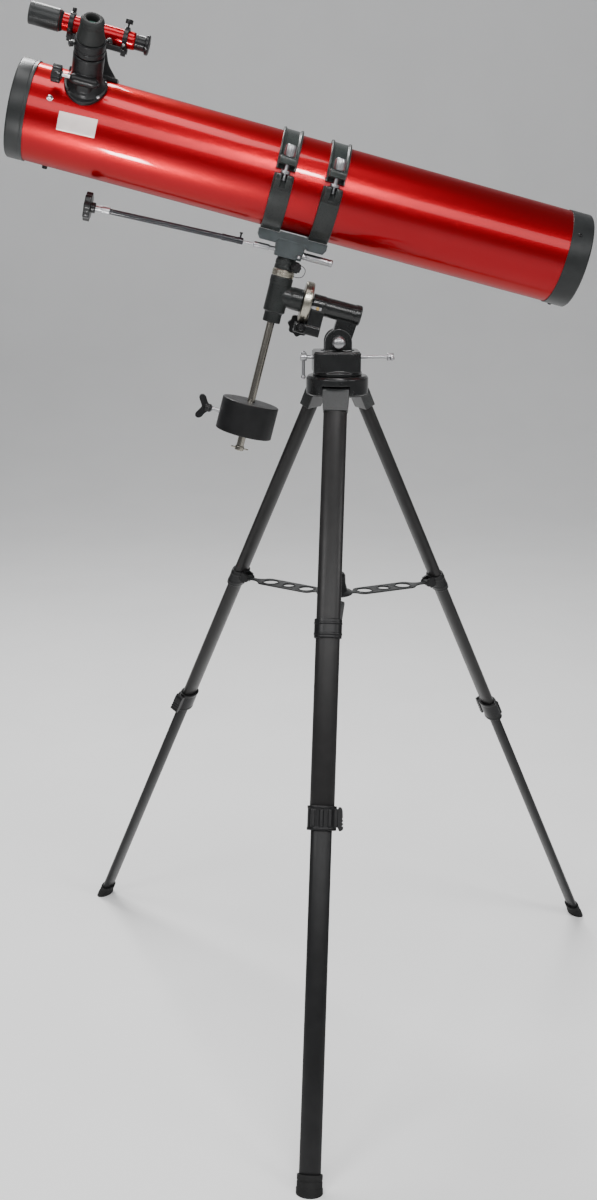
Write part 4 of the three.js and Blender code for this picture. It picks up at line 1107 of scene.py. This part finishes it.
def azimuth_base():
    bottom, top = HUB_TOP + GAP, 1117
    flange = turned("z", [
        (0, bottom), (38.5, bottom), (38.5, bottom + 5), (33, bottom + 8), (0, bottom + 8),
    ], soft=1)
    outline = softened([(-39, -33), (35, -33), (35, 33), (-39, 33)], 9)
    crown = [(x * 0.95, y * 0.94) for x, y in outline]
    pot = union(prism("z", outline, bottom + 6, top - 2), prism("z", crown, top - 3, top))
    ears = []
    for a, b in ((-18, -EAR), (EAR, 18)):
        ears.append(cylinder("y", 21, a, b, (0, PIVOT_HEIGHT)))
        ears.append(box((-21, 21), (a, b), (top - 8, PIVOT_HEIGHT)))
    slot = box((-26, 26), (-EAR, EAR), (PIVOT_HEIGHT - 22, top + 5))
    pivot_hole = cylinder("y", 5.3, -30, 30, (0, PIVOT_HEIGHT))
    bolt_hole = cylinder("x", 3.4, -50, 50, (0, BOLT_HEIGHT))
    stud = cylinder("z", 5, HUB_BOTTOM - 18, bottom + 1)
    wings = [
        (-13, 1027), (-7, 1027), (-5, 1031), (5, 1031), (7, 1027), (13, 1027), (13, 1041), (6, 1040),
        (-6, 1040), (-13, 1041),
    ]
    boss = union(
        cylinder("z", 8, HUB_BOTTOM - 16, HUB_BOTTOM - 6), prism("y", softened(wings, 2.5), -2.2, 2.2),
    )
    upper = cast(cut(union(flange, pot, *ears), slot, pivot_hole, bolt_hole), 0.65, 4)
    nut = cast(boss, 0.4, 3)
    look("azimuth_base", together(upper, stud, nut), TRIPOD, gloss_casting)

    at = (0, PIVOT_HEIGHT)
    dome = turned("y", [
        (0, -30), (3, -29.8), (5.5, -29.2), (8, -27.8), (10, -25.6), (11, -23), (11, -18.3), (0, -18.3),
    ], at, soft=0.4)
    far_head = bevelled(cylinder("y", 9, 18.3, 24, at, sides=6), 0.6, 2)
    bolt = union(cylinder("y", 5, -26, 22, at), dome, far_head)
    look("latitude_pivot_bolt", bolt, TRIPOD, satin_chrome)


def t_bolt(node, side, head, bar):
    """A latitude bolt along X whose tommy bar with ball ends crosses its head."""
    low, high, axis = bar
    shank = cylinder("x", 3, *sorted((side * 23, side * head)), soft=0.4)
    block = cylinder("x", 6.2, side * head - 5, side * head + 5, soft=1.2)
    ends = [low + 3.75, high - 3.75]
    line = cylinder(axis, 2.4, *ends, (side * head, 0))
    centres = [(side * head, 0, s) if axis == "z" else (side * head, s, 0) for s in ends]
    body = union(shank, block, line, *[ball(3.75, c) for c in centres])
    look(node, moved(body, 0, 0, BOLT_HEIGHT), TRIPOD, satin_chrome)


ra_housing()
ra_worm()
azimuth_base()
t_bolt("latitude_bolt_left", -1, 53.5, (-34.6, 9.2, "z"))
t_bolt("latitude_bolt_right", 1, 83, (-30, 15, "y"))

# ---- tripod ------------------------------------------------------------------------------

HUB_RADIUS = 49
UPPER_LEG = (18.4, 8.85, 1.3)  # half-width, half-depth and wall of the oval tube
LOWER_LEG = (15.75, 7.0, 1.2)
UPPER_TOP, UPPER_END = 29.7, 655
CLAMP_TOP, CLAMP_END = 631.4, 667.4
COLLAR_TOP, COLLAR_END = 353.4, 383.4
LOWER_TOP, LOWER_END = 575, 1150
FOOT_TOP = 1144
ARM_HEIGHT = 720
ARM_PIVOT = 176
LEG_LENGTH = HINGE_HEIGHT / math.cos(math.radians(LEG_TILT))


def tripod_hub():
    flat = HUB_RADIUS - 3
    body = turned("z", [
        (0, HUB_BOTTOM), (flat, HUB_BOTTOM), (HUB_RADIUS, HUB_BOTTOM + 3), (HUB_RADIUS, HUB_TOP - 4),
        (flat, HUB_TOP), (0, HUB_TOP),
    ], soft=1)
    slot = union(
        box((26, HUB_RADIUS + 10), (-21.3, 21.3), (HUB_BOTTOM - 10, HUB_TOP - 13)),
        cylinder("y", 3.4, -27.6, 27.6, (HINGE_RADIUS, HINGE_HEIGHT)),
    )
    slots = [spun(slot, "z", heading) for heading in LEG_HEADINGS]
    stud_hole = cylinder("z", 5.6, HUB_BOTTOM - 5, HUB_TOP + 5)
    look("tripod_hub", cast(cut(body, *slots, stud_hole), 0.65, 3), TRIPOD, gloss_casting)


def oval_tube(size, top, end):
    a, b, wall = size
    outer = bevelled(prism("z", oval(a, b), -end, -top), 0.3, 2)
    return cut(outer, prism("z", oval(a - wall, b - wall), -end - 1, -top + 1))


def wrap(a, b, start, end, soft=1.6):
    """A band round an oval leg with rounded edges."""
    return bevelled(prism("z", oval(a, b), -end, -start), soft, 4)


def leg_bore(size, start, end):
    """The space that a leg tube of this size takes in the pieces around it."""
    return prism("z", oval(size[0] + GAP, size[1] + GAP), start, end)


def leg_fitting():
    end = -UPPER_TOP + GAP
    outline = softened([(-20.8, 0), (20.8, 0), (19.2, end), (-19.2, end)], 1.2)
    shoulders = prism("x", outline, -9, 9)
    eye = cylinder("y", 9, -20.8, 20.8, soft=1)
    a, b, wall = UPPER_LEG
    plug = prism("z", oval(a - wall - 0.5, b - wall - 0.5), -62, end + 1)
    return cast(union(shoulders, eye, plug, cylinder("y", 3, -27, 27)), 0.6, 4)


def spreader_collar():
    pivot, width = (-20.1, -360.9), (6.3, 10.3)
    ear = union(
        box((pivot[0], -9), width, (-370, -COLLAR_TOP)), cylinder("y", 5.5, *width, pivot, soft=0.5),
    )
    pin = cylinder("y", 2, -width[1], width[1], pivot, soft=0.4)
    bore = leg_bore(UPPER_LEG, -COLLAR_END - 1, -COLLAR_TOP + 1)
    rib = wrap(21.6, 12.5, COLLAR_TOP + 5, COLLAR_TOP + 8.5, 0.7)
    low_rib = wrap(21.6, 12.5, COLLAR_END - 8.5, COLLAR_END - 5, 0.7)
    body = union(wrap(21.1, 12, COLLAR_TOP, COLLAR_END), rib, low_rib, ear, mirrored(ear), pin)
    return cast(cut(body, bore), 0.5, 2)


def leg_clamp():
    low, high, step = -CLAMP_END, -CLAMP_TOP, -UPPER_END - GAP
    boss = box((-6, 6), (18, 27.5), (low + 5, high - 4))
    blade = [
        (26.4, low - 1), (32, low + 2), (30.6, high - 6), (28.5, high - 1), (24, high - 1),
        (24, low + 4),
    ]
    lever = prism("x", softened(blade, 2), -7.5, 7.5)
    grooves = [box((-9, 9), (29.9, 40), (low + z, low + z + 1.6)) for z in (7, 12, 17)]
    wide = leg_bore(UPPER_LEG, step, high + 1)
    narrow = leg_bore(LOWER_LEG, low - 1, step + 1)
    rims = [wrap(21.9, 12.9, top, top + 4.5, 1) for top in (CLAMP_TOP, CLAMP_END - 4.5)]
    ribs = []
    for y, reach in ((-12.5, 12.2), (0, 13.9), (12.5, 12.2)):
        ribs.append(bevelled(box((5, reach), (y - 3, y + 3), (low + 5, high - 5)), 1.2, 3))
    body = union(wrap(21.3, 12.3, CLAMP_TOP, CLAMP_END), *rims, *ribs, boss, cut(lever, *grooves))
    return cast(cut(body, wide, narrow), 0.5, 2)


def foot():
    block = prism("z", oval(18.4, 10.1), -LEG_LENGTH - 6, -FOOT_TOP)
    rim = wrap(19.2, 10.9, LEG_LENGTH - 8, LEG_LENGTH + 6, 1)
    core = prism("z", oval(17.8, 9.5), -FOOT_TOP - 20, -FOOT_TOP)
    groove = cut(wrap(22, 14, FOOT_TOP + 7, FOOT_TOP + 9.2, 0.2), core)
    socket = leg_bore(LOWER_LEG, -LOWER_END - GAP, -FOOT_TOP + 1)
    ground = moved(spun(box((-60, 60), (-60, 60), (-60, 0)), "y", LEG_TILT), 0, 0, -LEG_LENGTH)
    return bevelled(cut(union(block, rim), groove, socket, ground), 0.5, 2)


def arm_outline():
    """Plan of a spreader tray, from the eye at the leg to the tip under the hub."""
    half = 19
    side = [(ARM_PIVOT - 4, 5.8), (160, 5.8)]
    side += bend((160, 5.8), (152, 7), (147, 14)) + bend((147, 14), (143, half), (134, half))
    side += bend((52, half), (44, half), (40, 12)) + bend((40, 12), (37, 5), (31, 5))
    tip = [(27 - 5 * math.sin(math.pi * i / 12), 5 * math.cos(math.pi * i / 12)) for i in range(13)]
    outline = side + tip + [(x, -y) for x, y in reversed(side)]
    return [p for i, p in enumerate(outline) if i == 0 or (Vector(p) - Vector(outline[i - 1])).length > 0.01]


def spreader_arm():
    """A pressed tray with a raised lip round each eyepiece hole."""
    low = ARM_HEIGHT - 1.5
    plate = bevelled(prism("z", arm_outline(), low, low + 2.2), 0.5, 2)
    eye = cylinder("y", 5, -5.8, 5.8, (ARM_PIVOT, ARM_HEIGHT), soft=0.5)
    holes = [(56, 13), (92, 10), (129, 13)]
    rims = [pipe("z", size + 2, size, low, low + 3, (x, 0), soft=0.6) for x, size in holes]
    bores = [cylinder("z", size, low - 5, low + 10, (x, 0)) for x, size in holes]
    pin_hole = cylinder("y", 2.3, -8, 8, (ARM_PIVOT, ARM_HEIGHT))
    tray = cut(plate, *bores)
    return cut(union(tray, eye, *rims), pin_hole)


def spreader_hub():
    base = ARM_HEIGHT + 1.8
    return turned("z", [
        (0, base), (30, base), (30, base + 3), (21, base + 6), (18, 740), (17.4, 753), (15, 757),
        (9, 757), (8, 755.5), (0, 755.5),
    ], soft=1.2)


def pressed_rivet(radius):
    return turned("z", [(0, -0.5), (radius, -0.5), (radius, 0.3), (radius * 0.75, 0.9), (0, 1.1)], soft=0.3)


def legs():
    for i, (radial, leg) in enumerate(zip(RADIALS, LEGS)):
        n = i + 1
        look(f"leg_fitting_{n}", leg_fitting(), leg, fitting_grey)
        look(f"upper_leg_{n}", oval_tube(UPPER_LEG, UPPER_TOP, UPPER_END), leg, upper_leg_paint)
        look(f"spreader_collar_{n}", spreader_collar(), leg, black_plastic)
        look(f"leg_clamp_{n}", leg_clamp(), leg, black_plastic)
        look(f"lower_leg_{n}", oval_tube(LOWER_LEG, LOWER_TOP, LOWER_END), leg, lower_leg_paint)
        look(f"foot_{n}", foot(), leg, foot_rubber)
        look(f"spreader_arm_{n}", spreader_arm(), radial, tray_paint)
        clamp_at = leg @ shift(12.3, 0, -(CLAMP_TOP + CLAMP_END) / 2) @ turn("Y", 90)
        piece(f"clamp_rivet_{n}", pressed_rivet(2.2), clamp_at, f"leg_{n}", black_plastic)


tripod_hub()
legs()
look("spreader_hub", spreader_hub(), TRIPOD, black_plastic)

# ---- floor, lights and camera ------------------------------------------------------------


CAMERA_PLACE = (-0.1712, -1.9621, 1.3110)
TUBE_SLOPE = 14.5  # turns the small lamps square to the tube


def floor():
    """A pale floor that curves up into a wall far behind the object."""
    half, front, back, rise = 9.0, -7.0, 6.0, 2.5
    profile = [(front, 0.0)] + bend((back - rise, 0), (back, 0), (back, rise), 24) + [(back, 8.0)]
    points = [(x, y, z) for y, z in profile for x in (-half, half)]
    faces = [(2 * i, 2 * i + 1, 2 * i + 3, 2 * i + 2) for i in range(len(profile) - 1)]
    mesh = bpy.data.meshes.new("floor")
    mesh.from_pydata(points, [], faces)
    mesh.polygons.foreach_set("use_smooth", [True] * len(mesh.polygons))
    nodes = Nodes("floor_paper")
    tint = nodes.ramp(nodes.noise(3, 2), [(0.3, (0.86, 0.86, 0.855)), (0.7, (0.89, 0.89, 0.885))])
    nodes.join(tint, nodes.shader.inputs["Base Color"])
    fix(nodes.shader, Roughness=0.9, Emission_Color=(1, 1, 1, 1), Emission_Strength=0.06)
    mesh.materials.append(nodes.material)
    made = bpy.data.objects.new("floor", mesh)
    bpy.context.scene.collection.objects.link(made)


def softbox(name, place, aim, size, power):
    light = bpy.data.lights.new(name, "AREA")
    light.shape, light.size, light.size_y = "RECTANGLE", *size
    light.energy = power
    made = bpy.data.objects.new(name, light)
    made.location = place
    made.rotation_euler = (Vector(aim) - Vector(place)).to_track_quat("-Z", "Y").to_euler()
    bpy.context.scene.collection.objects.link(made)
    return made


def studio():
    """A dim room with long boxes above, behind and in front, one on each side and two small lamps."""
    world = bpy.data.worlds.new("studio")
    world.use_nodes = True
    background = world.node_tree.nodes["Background"]
    fix(background, Color=(0.93, 0.95, 1.0, 1), Strength=0.2)
    bpy.context.scene.world = world
    middle = (0, 0, 1.2)
    softbox("box_above", (-0.3, -0.4, 3.6), (0, 0, 1.2), (2.2, 0.7), 40)
    softbox("box_behind", (-0.7, 1.7, 3.5), (-0.1, 0, 1.3), (1.3, 0.7), 110)
    softbox("box_left", (-2.6, -2.3, 3.1), middle, (1.3, 1.2), 45)
    softbox("box_right", (2.8, -1.8, 2.7), middle, (1.2, 1.2), 35)
    softbox("box_front", (0.1, -3.0, 2.75), (0, 0, 1.3), (3.6, 1.3), 68)
    glint("window_left", -264, -24, 1.6, (0.11, 0.2), 0.33)
    glint("window_middle", -10, 14, 1.6, (0.1, 0.2), 0.25)


def glint(name, x, degrees, away, size, power):
    """A small lamp whose reflection shows on the tube at x, this far above level on the near side."""
    on_tube = MM * (round_tube(degrees) @ Vector((x, -TUBE_RADIUS, 0)))
    normal = (round_tube(degrees).to_3x3() @ Vector((0, -1, 0))).normalized()
    sight = (Vector(CAMERA_PLACE) - on_tube).normalized()
    bounced = 2 * normal.dot(sight) * normal - sight
    lamp = softbox(name, on_tube + bounced * away, on_tube, size, power)
    lamp.rotation_euler.rotate_axis("Z", math.radians(-TUBE_SLOPE))
    lamp.data.spread = math.radians(24)


def camera():
    """Aimed by heading (from +Y toward +X), pitch below level and roll."""
    heading, pitch, roll = math.radians(2.855), math.radians(16.19), math.radians(0.25)
    flat = math.cos(pitch)
    ahead = Vector((math.sin(heading) * flat, math.cos(heading) * flat, -math.sin(pitch)))
    level = Vector((math.cos(heading), -math.sin(heading), 0))
    upright = level.cross(ahead)
    right = level * math.cos(roll) + upright * math.sin(roll)
    up = upright * math.cos(roll) - level * math.sin(roll)
    lens = bpy.data.cameras.new("camera")
    lens.lens, lens.sensor_width = 39.16, 36
    made = bpy.data.objects.new("camera", lens)
    made.matrix_world = Matrix((right, up, -ahead)).transposed().to_4x4()
    made.matrix_world.translation = CAMERA_PLACE
    bpy.context.scene.collection.objects.link(made)
    bpy.context.scene.camera = made


floor()
studio()
camera()

# ---- clean up ----------------------------------------------------------------------------

for holder in (bench, tool_bench):
    bpy.data.objects.remove(holder)
